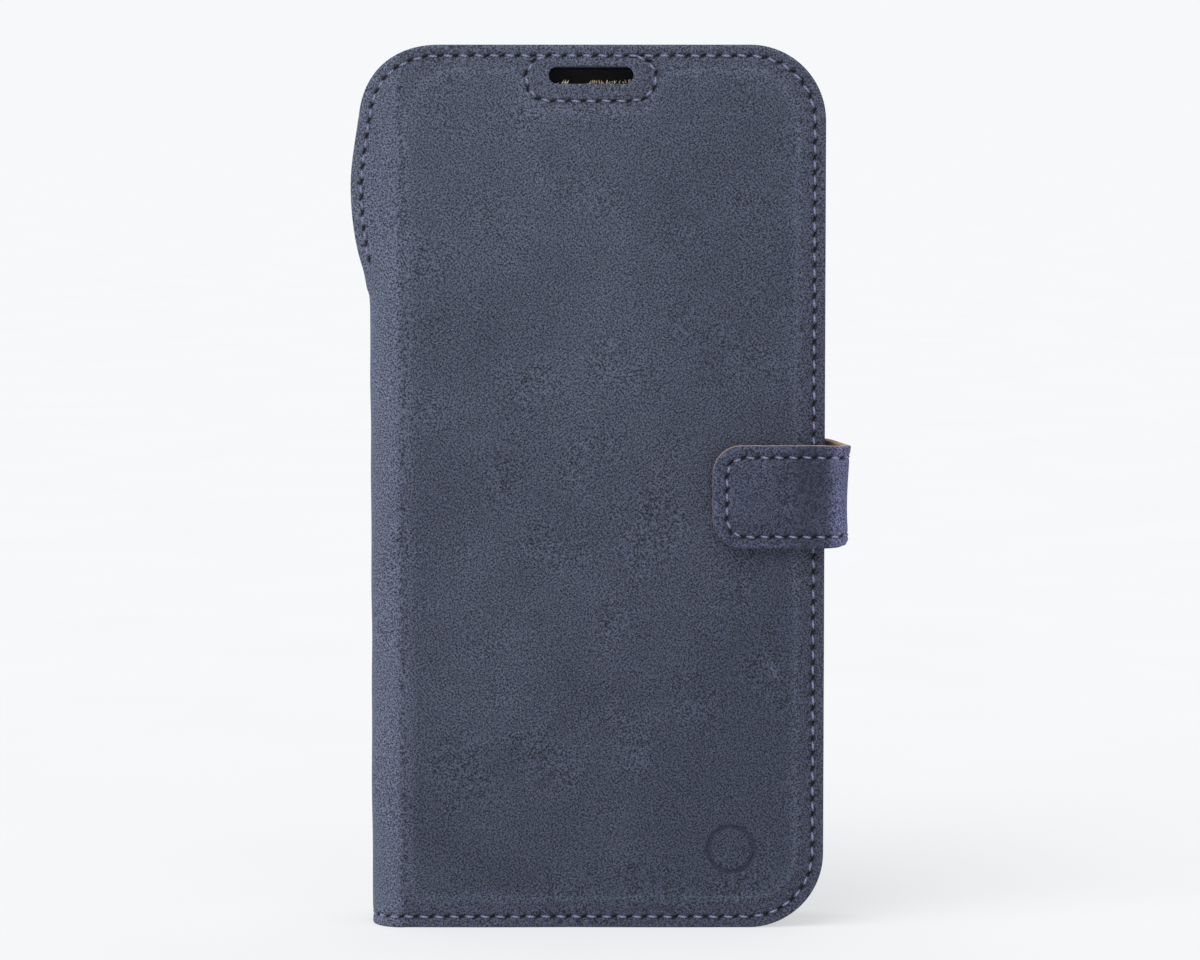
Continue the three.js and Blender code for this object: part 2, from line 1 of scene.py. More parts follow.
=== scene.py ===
"""The looks of the phone wallet case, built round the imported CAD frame.

Lengths are millimetres and become metres when a mesh is made. Plan positions count from the phone's
centre line, and every leather or lining sheet is drawn flat, as (u, z), before it is bent round the spine
or along the strap. Depth counts inward from the case's outermost face.
"""
import math

import bmesh
import bpy
import numpy as np
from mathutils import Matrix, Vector
from mathutils.geometry import delaunay_2d_cdt
from mathutils.kdtree import KDTree


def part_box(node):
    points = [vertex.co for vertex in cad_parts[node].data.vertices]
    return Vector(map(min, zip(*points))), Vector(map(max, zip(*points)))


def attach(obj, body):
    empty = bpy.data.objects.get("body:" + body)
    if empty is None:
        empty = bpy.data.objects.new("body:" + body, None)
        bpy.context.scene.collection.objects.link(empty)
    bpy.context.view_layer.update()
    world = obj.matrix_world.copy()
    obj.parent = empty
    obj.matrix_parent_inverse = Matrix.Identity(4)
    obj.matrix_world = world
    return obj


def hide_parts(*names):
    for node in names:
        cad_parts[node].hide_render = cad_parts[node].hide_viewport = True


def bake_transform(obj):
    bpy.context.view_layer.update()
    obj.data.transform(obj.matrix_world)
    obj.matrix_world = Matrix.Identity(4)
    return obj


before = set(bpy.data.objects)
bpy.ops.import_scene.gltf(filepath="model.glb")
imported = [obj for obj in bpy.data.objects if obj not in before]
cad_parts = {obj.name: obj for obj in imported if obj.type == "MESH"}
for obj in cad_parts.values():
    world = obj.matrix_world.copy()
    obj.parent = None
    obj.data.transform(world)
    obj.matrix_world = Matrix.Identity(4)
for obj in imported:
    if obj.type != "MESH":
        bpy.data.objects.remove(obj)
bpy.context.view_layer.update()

MM = 0.001
RANDOM = np.random.default_rng(7)


def cad(node):
    """Lowest and highest corner of a CAD node, in millimetres."""
    low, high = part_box(node)
    return np.array(low) / MM, np.array(high) / MM


# ---- Driving places, read from the frame, and driving sizes ----

COVER_LOW, COVER_HIGH = cad("cover_leather")
BACK_HIGH = cad("back_leather")[1]
SPINE_LOW, SPINE_HIGH = cad("spine_leather")
TRAY_LOW, TRAY_HIGH = cad("phone_tray")
BOARD_LOW, BOARD_HIGH = cad("cover_board")
BACK_BOARD_LOW, BACK_BOARD_HIGH = cad("back_board")
FLAP_LOW, FLAP_HIGH = cad("strap_flap_leather")
MAGNET_LOW, MAGNET_HIGH = cad("strap_magnet")

MID_X = (TRAY_LOW[0] + TRAY_HIGH[0]) / 2
FRONT = COVER_LOW[1]
REAR = BACK_HIGH[1]
SPINE_FACE = SPINE_LOW[0] - MID_X
FREE = COVER_HIGH[0] - MID_X
TOP = COVER_HIGH[2]
SPINE_TOP = SPINE_HIGH[2]
BACK_TOP = BACK_HIGH[2]

BEND_RADIUS = 6.5
FOLD = SPINE_FACE + BEND_RADIUS
HALF_SPINE = (REAR - FRONT) / 2 - BEND_RADIUS
SEAM = FOLD - BEND_RADIUS * math.pi / 2 - HALF_SPINE
CORNER = 14.5
BACK_CORNER = 6.0

LEATHER = 1.1
LINING = 0.55
SKIVE = 0.4
STITCH_INSET = 2.1
STITCH_PITCH = 2.95
GROOVE = 0.16
HOLE_DEPTH = 0.55
BOARD_RISE = 0.34
EDGE_ROUND = 0.45
RUB_REACH = 1.1


# ---- Curves in the flat ----

def line(*points):
    return np.array(points, float)


def arc(cx, cz, radius, start, end, steps=24):
    angles = np.radians(np.linspace(start, end, steps + 1))
    return np.stack([cx + radius * np.cos(angles), cz + radius * np.sin(angles)], 1)


def bezier(a, b, c, d, steps=24):
    t = np.linspace(0, 1, steps + 1)[:, None]
    a, b, c, d = (np.array(p, float) for p in (a, b, c, d))
    return (1 - t) ** 3 * a + 3 * (1 - t) ** 2 * t * b + 3 * (1 - t) * t * t * c + t ** 3 * d


def chain(*runs):
    """One run out of several that follow on, with no point twice."""
    whole = np.concatenate(runs)
    keep = np.r_[True, np.linalg.norm(np.diff(whole, axis=0), axis=1) > 1e-6]
    return whole[keep]


def lengths(run):
    return np.r_[0, np.cumsum(np.linalg.norm(np.diff(run, axis=0), axis=1))]


def spaced(run, gap, trim=0.0):
    """Points an even gap apart along a run, ends included, after trimming both ends."""
    at = lengths(run)
    count = max(int(round((at[-1] - 2 * trim) / gap)), 1)
    where = np.linspace(trim, at[-1] - trim, count + 1)
    return np.stack([np.interp(where, at, run[:, i]) for i in (0, 1)], 1)


def directions(run):
    along = np.gradient(run, axis=0)
    return along / np.maximum(np.linalg.norm(along, axis=1, keepdims=True), 1e-9)


def shifted(run, distance):
    """A run moved to the left of its direction of travel."""
    along = directions(run)
    return run + distance * np.stack([-along[:, 1], along[:, 0]], 1)


def rounded_box(left, right, low, high, radii):
    """A closed outline, with radii for the low left, low right, top right and top left corners."""
    ll, lr, tr, tl = radii
    return chain(
        arc(left + ll, low + ll, ll, 180, 270),
        arc(right - lr, low + lr, lr, 270, 360),
        arc(right - tr, high - tr, tr, 0, 90),
        arc(left + tl, high - tl, tl, 90, 180),
    )


def smooth(low, high, x):
    """An eased step from 0 at low to 1 at high; low may be the greater of the two."""
    t = np.clip((x - low) / (high - low), 0, 1)
    return t * t * (3 - 2 * t)


def distance(points, run, closed=False):
    """Each point's distance to a run of straight segments."""
    ends = np.roll(run, -1, axis=0) if closed else run[1:]
    starts = run if closed else run[:-1]
    best = np.full(len(points), 1e9)
    for a, b in zip(starts, ends):
        along = b - a
        size = along @ along
        if size < 1e-12:
            continue
        t = np.clip((points - a) @ along / size, 0, 1)
        best = np.minimum(best, ((points - a - t[:, None] * along) ** 2).sum(1))
    return np.sqrt(best)


def inside(points, outline):
    x, z = points[:, 0], points[:, 1]
    odd = np.zeros(len(points), bool)
    for (x0, z0), (x1, z1) in zip(outline, np.roll(outline, -1, axis=0)):
        if z0 != z1:
            odd ^= ((z0 > z) != (z1 > z)) & (x < (x1 - x0) * (z - z0) / (z1 - z0) + x0)
    return odd


def depth_inside(points, outline):
    """Distance in from an outline: positive inside it, negative outside."""
    away = distance(points, outline, closed=True)
    return np.where(inside(points, outline), away, -away)


def undulation(points, size, amount, seed):
    """Gentle unevenness, as a sum of waves in random directions."""
    random = np.random.default_rng(seed)
    total = np.zeros(len(points))
    for _ in range(9):
        angle, phase = random.uniform(0, 2 * math.pi, 2)
        wave = 2 * math.pi / (size * random.uniform(0.7, 1.6))
        total += np.sin(wave * (points @ [math.cos(angle), math.sin(angle)]) + phase)
    return amount * total / 3


# ---- From the flat to the case ----

CURL_START = 121.0
CURL_REACH = 7.0


def curl(z):
    """How fully the cover's left edge follows the spine's bend: it opens out into the flare above it."""
    return 1 / (1 + (np.maximum(z - CURL_START, 0) / CURL_REACH) ** 2)


def bent(u, depth, radius):
    """Plan position of a sheet that runs flat, turns the corner and runs on down the spine."""
    run = FOLD - u
    angle = np.clip(run / radius, 0, math.pi / 2)
    past = np.maximum(run - radius * math.pi / 2, 0)
    x = FOLD + np.maximum(-run, 0) - (radius - depth) * np.sin(angle)
    inward = radius - (radius - depth) * np.cos(angle) + past
    return x + MID_X, inward


def on_front(points, depth):
    x, inward = bent(points[:, 0], depth, BEND_RADIUS / curl(points[:, 1]))
    return np.stack([x, FRONT + inward, points[:, 1]], 1)


def on_rear(points, depth):
    x, inward = bent(points[:, 0], depth, BEND_RADIUS)
    return np.stack([x, REAR - inward, points[:, 1]], 1)


STRAP_FACE = FLAP_LOW[1]
STRAP_OUT = FLAP_HIGH[0] - MID_X
STRAP_BEND = 2.8
STRAP_TIP = FLAP_LOW[0] - MID_X
STRAP_Z = (FLAP_LOW[2], FLAP_HIGH[2])
STRAP_MID_Z = sum(STRAP_Z) / 2
STRAP_ROOT = (44.6, REAR - 1.65)


def strap_plan():
    """The strap's outer face in plan, from its tip to its root."""
    centre = (STRAP_OUT - STRAP_BEND, STRAP_FACE + STRAP_BEND)
    side = bezier(
        (STRAP_OUT - 0.05, centre[1] + 0.4),
        (STRAP_OUT - 2.2, REAR - 12),
        (47.3, REAR - 1.7),
        STRAP_ROOT,
        40,
    )
    flat = line((STRAP_TIP, STRAP_FACE), (centre[0] - 0.01, STRAP_FACE))
    return spaced(chain(flat, arc(*centre, STRAP_BEND, -90, 0), side), 0.1)


STRAP_PLAN = strap_plan()
STRAP_AT = lengths(STRAP_PLAN) + STRAP_TIP
STRAP_LAST = STRAP_AT[-1]
STRAP_OUTWARD = np.stack([directions(STRAP_PLAN)[:, 1], -directions(STRAP_PLAN)[:, 0]], 1)


DRAW_REACH = 3.4
DRAWN_IN = 0.75
DRAWN_LOW = 0.4
DRAWN_EDGE = 0.7
DRAWN_UP = 0.5


def on_strap(points, depth):
    """The strap: u is the plan position on its flat flap, and runs on round the bend to the root.

    The bend draws in between its two edges, and a little up from the lower one.
    """
    u = points[:, 0]
    share = (points[:, 1] - STRAP_MID_Z) / (STRAP_Z[1] - STRAP_MID_Z)
    bend = np.exp(-((u - STRAP_OUT - 0.5) / DRAW_REACH) ** 2)
    lower = np.clip(-share, 0, 1)
    drawn = DRAWN_IN * (1 - share ** 2) + DRAWN_LOW * lower ** 2 + DRAWN_EDGE * smooth(0.84, 1.0, lower)
    depth = depth + bend * drawn
    z = points[:, 1] + DRAWN_UP * bend * lower ** 3
    x, y = (np.interp(u, STRAP_AT, STRAP_PLAN[:, i]) for i in (0, 1))
    out_x, out_y = (np.interp(u, STRAP_AT, STRAP_OUTWARD[:, i]) for i in (0, 1))
    return np.stack([x - depth * out_x + MID_X, y - depth * out_y, z], 1)


# ---- Meshes ----

def shown(name, data):
    """An object in the scene round some data."""
    made = bpy.data.objects.new(name, data)
    bpy.context.collection.objects.link(made)
    return made


def tidy_faces(mesh):
    """Turns every face outward, and keeps the line between two materials crisp."""
    work = bmesh.new()
    work.from_mesh(mesh)
    bmesh.ops.recalc_face_normals(work, faces=work.faces)
    for edge in work.edges:
        if len({face.material_index for face in edge.link_faces}) > 1:
            edge.smooth = False
    work.to_mesh(mesh)
    work.free()
    mesh.update()


def new_piece(name, vertices, faces, materials, slots=None, marks=None, rest=None):
    """A mesh piece from millimetre coordinates, with its flat position kept for its material."""
    mesh = bpy.data.meshes.new(name)
    mesh.from_pydata((np.asarray(vertices) * MM).tolist(), [], [list(map(int, f)) for f in faces])
    for material in materials:
        mesh.materials.append(material)
    if slots is not None:
        mesh.polygons.foreach_set("material_index", np.asarray(slots, np.int32))
    for mark, values in (marks or {}).items():
        layer = mesh.attributes.new(mark, "FLOAT", "POINT")
        layer.data.foreach_set("value", np.asarray(values, np.float32))
    layer = mesh.attributes.new("rest", "FLOAT_VECTOR", "POINT")
    layer.data.foreach_set("vector", np.asarray(vertices if rest is None else rest, np.float32).ravel())
    mesh.polygons.foreach_set("use_smooth", np.ones(len(mesh.polygons), bool))
    tidy_faces(mesh)
    return shown(name, mesh)


def triangulated(outline, holes, points):
    """Triangles that fill an outline but not its holes: points, triangles, and each loop's point numbers."""
    loops = [outline, *holes]
    edges, spans, start = [], [], 0
    for loop in loops:
        span = range(start, start + len(loop))
        edges += zip(span, [*span[1:], start])
        spans.append(span)
        start += len(loop)
    found = delaunay_2d_cdt([Vector(p) for p in np.concatenate([*loops, points])], edges, [], 0, 1e-5)
    flat = np.array([tuple(v) for v in found[0]])
    triangles = np.array(found[2])
    centres = flat[triangles].mean(1)
    keep = inside(centres, outline)
    for hole in holes:
        keep &= ~inside(centres, hole)
    triangles = triangles[keep]
    a, b, c = (flat[triangles[:, i]] for i in range(3))
    turned = (b - a)[:, 0] * (c - a)[:, 1] - (b - a)[:, 1] * (c - a)[:, 0] < 0
    triangles[turned] = triangles[turned][:, ::-1]
    place = {old: new for new, olds in enumerate(found[3]) for old in olds}
    return flat, triangles, [[place[i] for i in span] for span in spans]


def hex_grid(outline, gap, clear):
    """An even triangular grid of points that stays clear of an outline."""
    low, high = outline.min(0), outline.max(0)
    rows = np.arange(low[1], high[1], gap * 0.866)
    columns = np.arange(low[0], high[0], gap)
    grid = np.array([(x + (i % 2) * gap / 2, z) for i, z in enumerate(rows) for x in columns])
    return grid[depth_inside(grid, outline) > clear]


def thinned(points, gap):
    """Drops points that share a cell of a fine grid."""
    _, first = np.unique(np.round(points / gap).astype(int), axis=0, return_index=True)
    return points[np.sort(first)]


BEND_GAP = 0.5
BEND_END_U = FOLD + 2.0
COARSE_GAP = 2.6
EDGE_SHARES = (0.12, 0.5, 0.88)


def bend_columns(outline, clear):
    """Points in straight columns up the bend and the spine, so that all layers fold along the same lines."""
    columns = np.arange(SEAM + BEND_GAP, BEND_END_U, BEND_GAP)
    heights = np.arange(outline[:, 1].min(), outline[:, 1].max(), 2.0)
    grid = np.array([(u, z) for u in columns for z in heights])
    return grid[depth_inside(grid, outline) > clear]


def sheet_piece(name, outline, holes, detail, place, seen, hidden, materials, grid=1.5, unrolled=None):
    """A closed sheet: the seen face with all its relief, the cut edge, and a plainer hidden face.

    seen(points) gives depth and marks, and hidden(points) gives the hidden face's depth. The sheet's
    materials are the face's, the cut edge's and the hidden face's. unrolled(u) gives the flat position that
    the material sees, where one sheet carries on from another.
    """
    clear = hex_grid(outline, grid, 0.35 * grid)
    coarse = hex_grid(outline, COARSE_GAP, 1.0)
    if outline[:, 0].min() < FOLD:
        columns = bend_columns(outline, 0.4)
        clear = np.concatenate([clear[clear[:, 0] > BEND_END_U], columns])
        coarse = np.concatenate([coarse[coarse[:, 0] > BEND_END_U], columns])
    fine = thinned(np.concatenate([detail, clear]) if len(detail) else clear, 0.16)
    fine = fine[depth_inside(fine, outline) > 0.08]
    for hole in holes:
        fine = fine[depth_inside(fine, hole) < -0.08]
        coarse = coarse[depth_inside(coarse, hole) < -0.5]
    flat_a, faces_a, rims_a = triangulated(outline, holes, fine)
    flat_b, faces_b, rims_b = triangulated(outline, holes, coarse)
    depth_a, marks = seen(flat_a)
    depth_b = hidden(flat_b)
    flats, depths = [flat_a, flat_b], [depth_a, depth_b]
    faces = [*map(tuple, faces_a), *map(tuple, len(flat_a) + faces_b[:, ::-1])]
    slots = [0] * len(faces_a) + [2] * len(faces_b)
    base = len(flat_a) + len(flat_b)
    for rim_a, rim_b in zip(rims_a, rims_b):
        count = len(rim_a)
        levels = [rim_a]
        for share in EDGE_SHARES:
            flats.append(flat_a[rim_a])
            depths.append(depth_a[rim_a] * (1 - share) + depth_b[rim_b] * share)
            levels.append(range(base, base + count))
            base += count
        levels.append([len(flat_a) + i for i in rim_b])
        for upper, lower in zip(levels, levels[1:]):
            for i in range(count):
                j = (i + 1) % count
                faces.append((upper[i], lower[i], lower[j], upper[j]))
                slots.append(1)
    flat, depth = np.concatenate(flats), np.concatenate(depths)
    across = flat[:, 0] if unrolled is None else unrolled(flat[:, 0])
    rest = np.stack([across, depth, flat[:, 1]], 1)
    marks = {key: np.pad(value, (0, base - len(value))) for key, value in marks.items()}
    vertices = np.concatenate([place(*level) for level in zip(flats, depths)])
    return new_piece(name, vertices, faces, materials, slots, marks, rest)


def band(run, offsets, gap):
    """Detail points along a run, at each of several distances to its left."""
    return np.concatenate([spaced(shifted(run, offset), gap) for offset in offsets])


def ring(outline, gap):
    """A closed outline with its points an even gap apart."""
    return spaced(np.concatenate([outline, outline[:1]]), gap)[:-1]


STITCH_RINGS = 9
STITCH_SIDES = 8
STITCH_RADIUS = 0.21
STITCH_SUNK = 0.5
STITCH_ARCH = 0.58
REST_STEP = 3.7
SLIT_HALF = 0.42
SLIT_LEAN = 0.6
DIAGONAL = np.array([1.0, 1.0]) / math.sqrt(2)


def slit_direction(ways):
    """How an awl's slit lies: near the way its row runs, tilted towards one diagonal all over the case."""
    forward = np.where(ways.sum(-1, keepdims=True) < 0, -1.0, 1.0)
    slit = ways + forward * SLIT_LEAN * DIAGONAL
    return slit / np.linalg.norm(slit, axis=-1, keepdims=True)


def stitches(name, rows, place, level, material, pitch=STITCH_PITCH, radius=STITCH_RADIUS,
             outward=1.0):
    """Rows of sewn thread. Each stitch is a short length that arches out of one hole and into the next."""
    share = np.linspace(0, 1, STITCH_RINGS)[:, None]
    turn = np.linspace(0, 2 * math.pi, STITCH_SIDES, endpoint=False)
    arch = np.sin(math.pi * share) ** 0.75
    flats, depths, rests, faces = [], [], [], []
    count = 0
    for run in rows:
        holes = spaced(run, pitch)
        for a, b in zip(holes[:-1], holes[1:]):
            way = (b - a) / np.linalg.norm(b - a)
            side = np.array([-way[1], way[0]])
            lean = RANDOM.normal(0, 0.04, 2)
            reach = 0.95 * SLIT_HALF * slit_direction(way)
            start, end = a + reach + lean[0] * side, b - reach - lean[1] * side
            along = (end - start) / np.linalg.norm(end - start)
            across = np.array([-along[1], along[0]])
            middle = start + share * (end - start)
            thick = radius * (0.62 + 0.38 * arch) * (1 + RANDOM.normal(0, 0.04))
            flats.append((middle[:, None, :] + (thick * np.cos(turn))[:, :, None] * across).reshape(-1, 2))
            sunk = STITCH_SUNK - STITCH_ARCH * arch + RANDOM.normal(0, 0.02)
            depths.append((outward * (sunk - thick * np.sin(turn))).ravel())
            length = np.linalg.norm(end - start)
            rests.append(np.stack([
                np.repeat(share * length + count * REST_STEP, STITCH_SIDES),
                np.tile(turn / (2 * math.pi), STITCH_RINGS),
                np.repeat(arch, STITCH_SIDES),
            ], 1))
            faces += tube_faces(count * STITCH_RINGS * STITCH_SIDES, STITCH_SIDES, STITCH_RINGS)
            count += 1
    flat = np.concatenate(flats)
    depth = level(flat) + np.concatenate(depths)
    return new_piece(name, place(flat, depth), faces, [material], rest=np.concatenate(rests))


def tube_faces(first, sides, rings):
    """The faces of a closed tube whose rings of points follow one another."""
    last = first + (rings - 1) * sides
    faces = [tuple(range(first, first + sides)), tuple(reversed(range(last, last + sides)))]
    for low in range(first, last, sides):
        for i in range(sides):
            k = (i + 1) % sides
            faces.append((low + i, low + k, low + sides + k, low + sides + i))
    return faces


def stitch_holes(rows, pitch=STITCH_PITCH):
    """The awl's slits, each as three points."""
    slits = []
    for run in rows:
        holes = spaced(run, pitch)
        slit = SLIT_HALF * slit_direction(directions(holes))
        slits += [holes - slit, holes, holes + slit]
    return np.concatenate(slits)


def near(points, targets):
    """Each point's distance to the nearest of some target points."""
    tree = KDTree(len(targets))
    for i, target in enumerate(targets):
        tree.insert((target[0], target[1], 0), i)
    tree.balance()
    return np.array([tree.find((x, z, 0))[2] for x, z in points])


def hole_detail(holes, gap=0.3):
    """Detail points round each stitch hole."""
    turn = np.linspace(0, 2 * math.pi, 7)[:-1]
    spots = [holes]
    for reach in (0.8 * gap, 1.8 * gap):
        spots += [holes + reach * np.array([math.cos(a), math.sin(a)]) for a in turn + reach]
    return np.concatenate(spots)


# ---- Materials ----

def linear(colour):
    """A display colour, 0 to 255, as the linear colour a shader works in."""
    share = np.array(colour, float) / 255
    return tuple(np.where(share <= 0.04045, share / 12.92, ((share + 0.055) / 1.055) ** 2.4)) + (1.0,)


class Look:
    """One procedural material, with each node written as a call that returns its output."""

    def __init__(self, name, **sockets):
        self.material = bpy.data.materials.new(name)
        self.material.use_nodes = True
        self.tree = self.material.node_tree
        self.shader = self.tree.nodes["Principled BSDF"]
        for socket, value in sockets.items():
            self.shader.inputs[socket.replace("_", " ")].default_value = value

    def node(self, kind, inputs=(), **settings):
        made = self.tree.nodes.new(kind)
        for key, value in settings.items():
            setattr(made, key, value)
        for key, value in dict(inputs).items():
            if isinstance(value, bpy.types.NodeSocket):
                self.tree.links.new(value, made.inputs[key])
            else:
                made.inputs[key].default_value = value
        return made

    def attribute(self, name, output="Fac"):
        return self.node("ShaderNodeAttribute", attribute_name=name).outputs[output]

    def place(self, stretch=(1, 1, 1)):
        """The flat position in millimetres that the mesh carries."""
        return self.stretched(self.attribute("rest", "Vector"), stretch)

    def solid(self, stretch=(1, 1, 1)):
        """The position of a carried-over CAD node, in millimetres."""
        where = self.node("ShaderNodeTexCoord").outputs["Object"]
        return self.stretched(where, tuple(s / MM for s in stretch))

    def stretched(self, vector, stretch):
        return self.node("ShaderNodeVectorMath", {0: vector, 1: stretch}, operation="MULTIPLY").outputs[0]

    def turned(self, where, degrees):
        """The same position turned about the sheet's depth, so that grain shows no square lattice."""
        inputs = {"Vector": where, "Angle": math.radians(degrees)}
        return self.node("ShaderNodeVectorRotate", inputs, rotation_type="Y_AXIS").outputs[0]

    def noise(self, where, size, detail=2.0, roughness=0.5, distortion=0.0):
        inputs = {"Vector": where, "Scale": 1 / size, "Detail": detail, "Roughness": roughness,
                  "Distortion": distortion}
        return self.node("ShaderNodeTexNoise", inputs).outputs["Fac"]

    def creases(self, where, size):
        return self.node("ShaderNodeTexVoronoi", {"Vector": where, "Scale": 1 / size},
                         feature="DISTANCE_TO_EDGE").outputs["Distance"]

    def sum(self, operation, a, b=0.0, c=0.0):
        return self.node("ShaderNodeMath", {0: a, 1: b, 2: c}, operation=operation).outputs[0]

    def span(self, value, low, high, to_low=0.0, to_high=1.0):
        inputs = {"Value": value, "From Min": low, "From Max": high, "To Min": to_low, "To Max": to_high}
        return self.node("ShaderNodeMapRange", inputs).outputs[0]

    def mix(self, share, a, b, blend="MIX"):
        return self.node("ShaderNodeMix", {0: share, 6: a, 7: b}, data_type="RGBA", blend_type=blend,
                         clamp_factor=True).outputs[2]

    def bump(self, height, reach, strength=1.0, under=None):
        inputs = {"Height": height, "Distance": reach * MM, "Strength": strength}
        if under is not None:
            inputs["Normal"] = under
        return self.node("ShaderNodeBump", inputs).outputs[0]

    def blotched(self, first, second):
        """Two patterns added up, each with the range it comes in and the range it is given."""
        return self.sum("ADD", self.span(*first), self.span(*second))

    def finish(self, colour, roughness, *normal):
        for socket, value in zip(("Base Color", "Roughness", "Normal"), (colour, roughness, *normal)):
            self.tree.links.new(value, self.shader.inputs[socket])
        return self.material


def nubuck(name, dark, light, margin, bright):
    """Brushed leather: cloudy mottling, a coarse nap, and darker where it is pressed. It also carries painted
    light: painted lighter towards the top and the spine side, and painted shade in its stitch holes and in
    the strap's dip.

    bright is the colour its worn edges are worn to, and also the painted highlight on its spine, its bends
    and the board's edges.
    """
    look = Look(name, Sheen_Weight=0.16, Sheen_Roughness=0.45, Sheen_Tint=linear((150, 165, 205)),
                Specular_IOR_Level=0.25)
    where = look.place()
    cloud = look.noise(where, 30.0, 4.0, 0.6, 0.5)
    patch = look.noise(where, 6.0, 3.0, 0.6, 0.4)
    nap = look.noise(look.turned(where, 37), 0.33, 1.0, 0.6, 0.2)
    fleck = look.noise(look.turned(where, 71), 0.22, 1.0, 0.5)
    parts = look.node("ShaderNodeSeparateXYZ", {0: where})
    # Painted light from the upper left: the leather is painted lighter towards the top and towards the spine
    # side.
    painted_light_gradient = look.blotched((parts.outputs[2], 0.0, TOP, -0.5, 0.2), (parts.outputs[0], 0.0, FREE, 0.05, -0.34))
    tone = look.blotched((cloud, 0.25, 0.75, 0.06, 0.64), (patch, 0.25, 0.75, 0.07, 0.29))
    tone = look.sum("ADD", tone, painted_light_gradient)
    colour = look.mix(tone, linear(dark), linear(light))
    colour = look.mix(look.attribute("margin"), colour, look.mix(tone, linear(margin), linear(light)))
    # Worn edges, and the painted highlights on the spine, the bends and the board's edges, go towards bright.
    worn_and_lit = look.sum("MULTIPLY", look.attribute("wear"), look.span(cloud, 0.3, 0.7, 0.6, 1.0))
    colour = look.mix(worn_and_lit, colour, linear(bright))
    grain = look.blotched((nap, 0.3, 0.7, 0.0, 0.65), (fleck, 0.25, 0.75, 0.0, 0.35))
    shade = look.span(grain, 0.26, 0.76, 0.26, 1.84)
    grey = look.node("ShaderNodeCombineColor", {0: shade, 1: shade, 2: shade}).outputs[0]
    colour = look.mix(1.0, colour, grey, "MULTIPLY")
    # Darker where pressed, and the painted shade of the strap's dip, which rides on the same mark.
    colour = look.mix(look.span(look.attribute("press"), 0.0, 1.0, 0.0, 0.55), colour, linear((40, 42, 56)))
    # Painted shade: the stitch holes are painted near black.
    colour = look.mix(look.span(look.attribute("pit"), 0.15, 0.8, 0.0, 0.95), colour, linear((13, 13, 20)))
    rough = look.span(grain, 0.0, 1.0, 0.95, 0.78)
    normal = look.bump(look.span(look.creases(where, 0.7), 0.0, 0.2), 0.05, 0.4)
    return look.finish(colour, rough, look.bump(grain, 0.12, 0.9, normal))


def suede(name, dark, light):
    """The fleshy side and cut edges of the hide: tan, fibrous and uneven."""
    look = Look(name, Sheen_Weight=0.35, Sheen_Roughness=0.5, Specular_IOR_Level=0.2)
    fibres = look.noise(look.place((1.0, 4.0, 2.4)), 0.5, 4.0, 0.75, 1.2)
    patch = look.noise(look.place(), 3.5, 2.0)
    tone = look.blotched((fibres, 0.3, 0.7, 0.0, 0.6), (patch, 0.3, 0.7, 0.0, 0.4))
    colour = look.mix(tone, linear(dark), linear(light))
    rough = look.span(fibres, 0.3, 0.7, 0.95, 0.8)
    return look.finish(colour, rough, look.bump(fibres, 0.14, 0.8))


def microfibre(name, dark, light):
    """The lining: a fine brushed cloth with a just visible twill."""
    look = Look(name, Sheen_Weight=0.3, Sheen_Roughness=0.4, Specular_IOR_Level=0.2)
    twill = look.node("ShaderNodeTexWave", {"Vector": look.place((1, 0, 1)), "Scale": 0.55, "Distortion": 0.6,
                                            "Detail": 1.0, "Detail Scale": 3.0},
                      wave_type="BANDS", bands_direction="DIAGONAL").outputs["Fac"]
    nap = look.noise(look.place(), 0.3, 3.0, 0.7)
    patch = look.noise(look.place(), 14.0, 3.0, 0.6, 0.5)
    tone = look.blotched((nap, 0.3, 0.7, 0.0, 0.4), (patch, 0.3, 0.7, 0.0, 0.6))
    colour = look.mix(tone, linear(dark), linear(light))
    colour = look.mix(look.span(twill, 0.0, 1.0, 0.0, 0.2), colour, linear(dark))
    rough = look.span(nap, 0.3, 0.7, 0.95, 0.82)
    normal = look.bump(nap, 0.06, 0.6, look.bump(twill, 0.04, 0.4))
    return look.finish(colour, rough, normal)


def waxed_thread(name, dark, light):
    """Two-ply waxed thread: a twist that runs round each stitch, with a painted highlight on its crown and
    painted shade in the twist's grooves and at its ends, where it goes into the holes.
    """
    look = Look(name, Sheen_Weight=0.2, Specular_IOR_Level=0.45)
    parts = look.node("ShaderNodeSeparateXYZ", {0: look.attribute("rest", "Vector")})
    lay = look.sum("MULTIPLY_ADD", parts.outputs[0], 1.7, look.sum("MULTIPLY", parts.outputs[1], 2.0))
    ply = look.sum("ABSOLUTE", look.sum("SINE", look.sum("MULTIPLY", lay, math.pi)))
    fuzz = look.noise(look.attribute("rest", "Vector"), 0.2, 2.0)
    # Painted highlight on the crown, and painted shade in the grooves of the twist and into the holes.
    crown = look.span(parts.outputs[2], 0.1, 1.0)
    tone = look.sum("MULTIPLY", crown, look.span(ply, 0.1, 0.9, 0.35, 1.0))
    colour = look.mix(tone, linear(dark), linear(light))
    colour = look.mix(look.span(fuzz, 0.4, 0.8, 0.0, 0.35), colour, linear(dark))
    rough = look.span(fuzz, 0.3, 0.7, 0.62, 0.45)
    return look.finish(colour, rough, look.bump(ply, 0.09, 0.9))


def moulded(name, dark, light):
    """Satin moulded plastic with a fine spark-eroded texture."""
    look = Look(name, Specular_IOR_Level=0.45)
    spark = look.noise(look.solid(), 0.22, 2.0, 0.6)
    patch = look.noise(look.solid(), 12.0, 2.0)
    colour = look.mix(look.span(patch, 0.3, 0.7), linear(dark), linear(light))
    rough = look.span(spark, 0.3, 0.7, 0.42, 0.58)
    return look.finish(colour, rough, look.bump(spark, 0.03, 0.5))


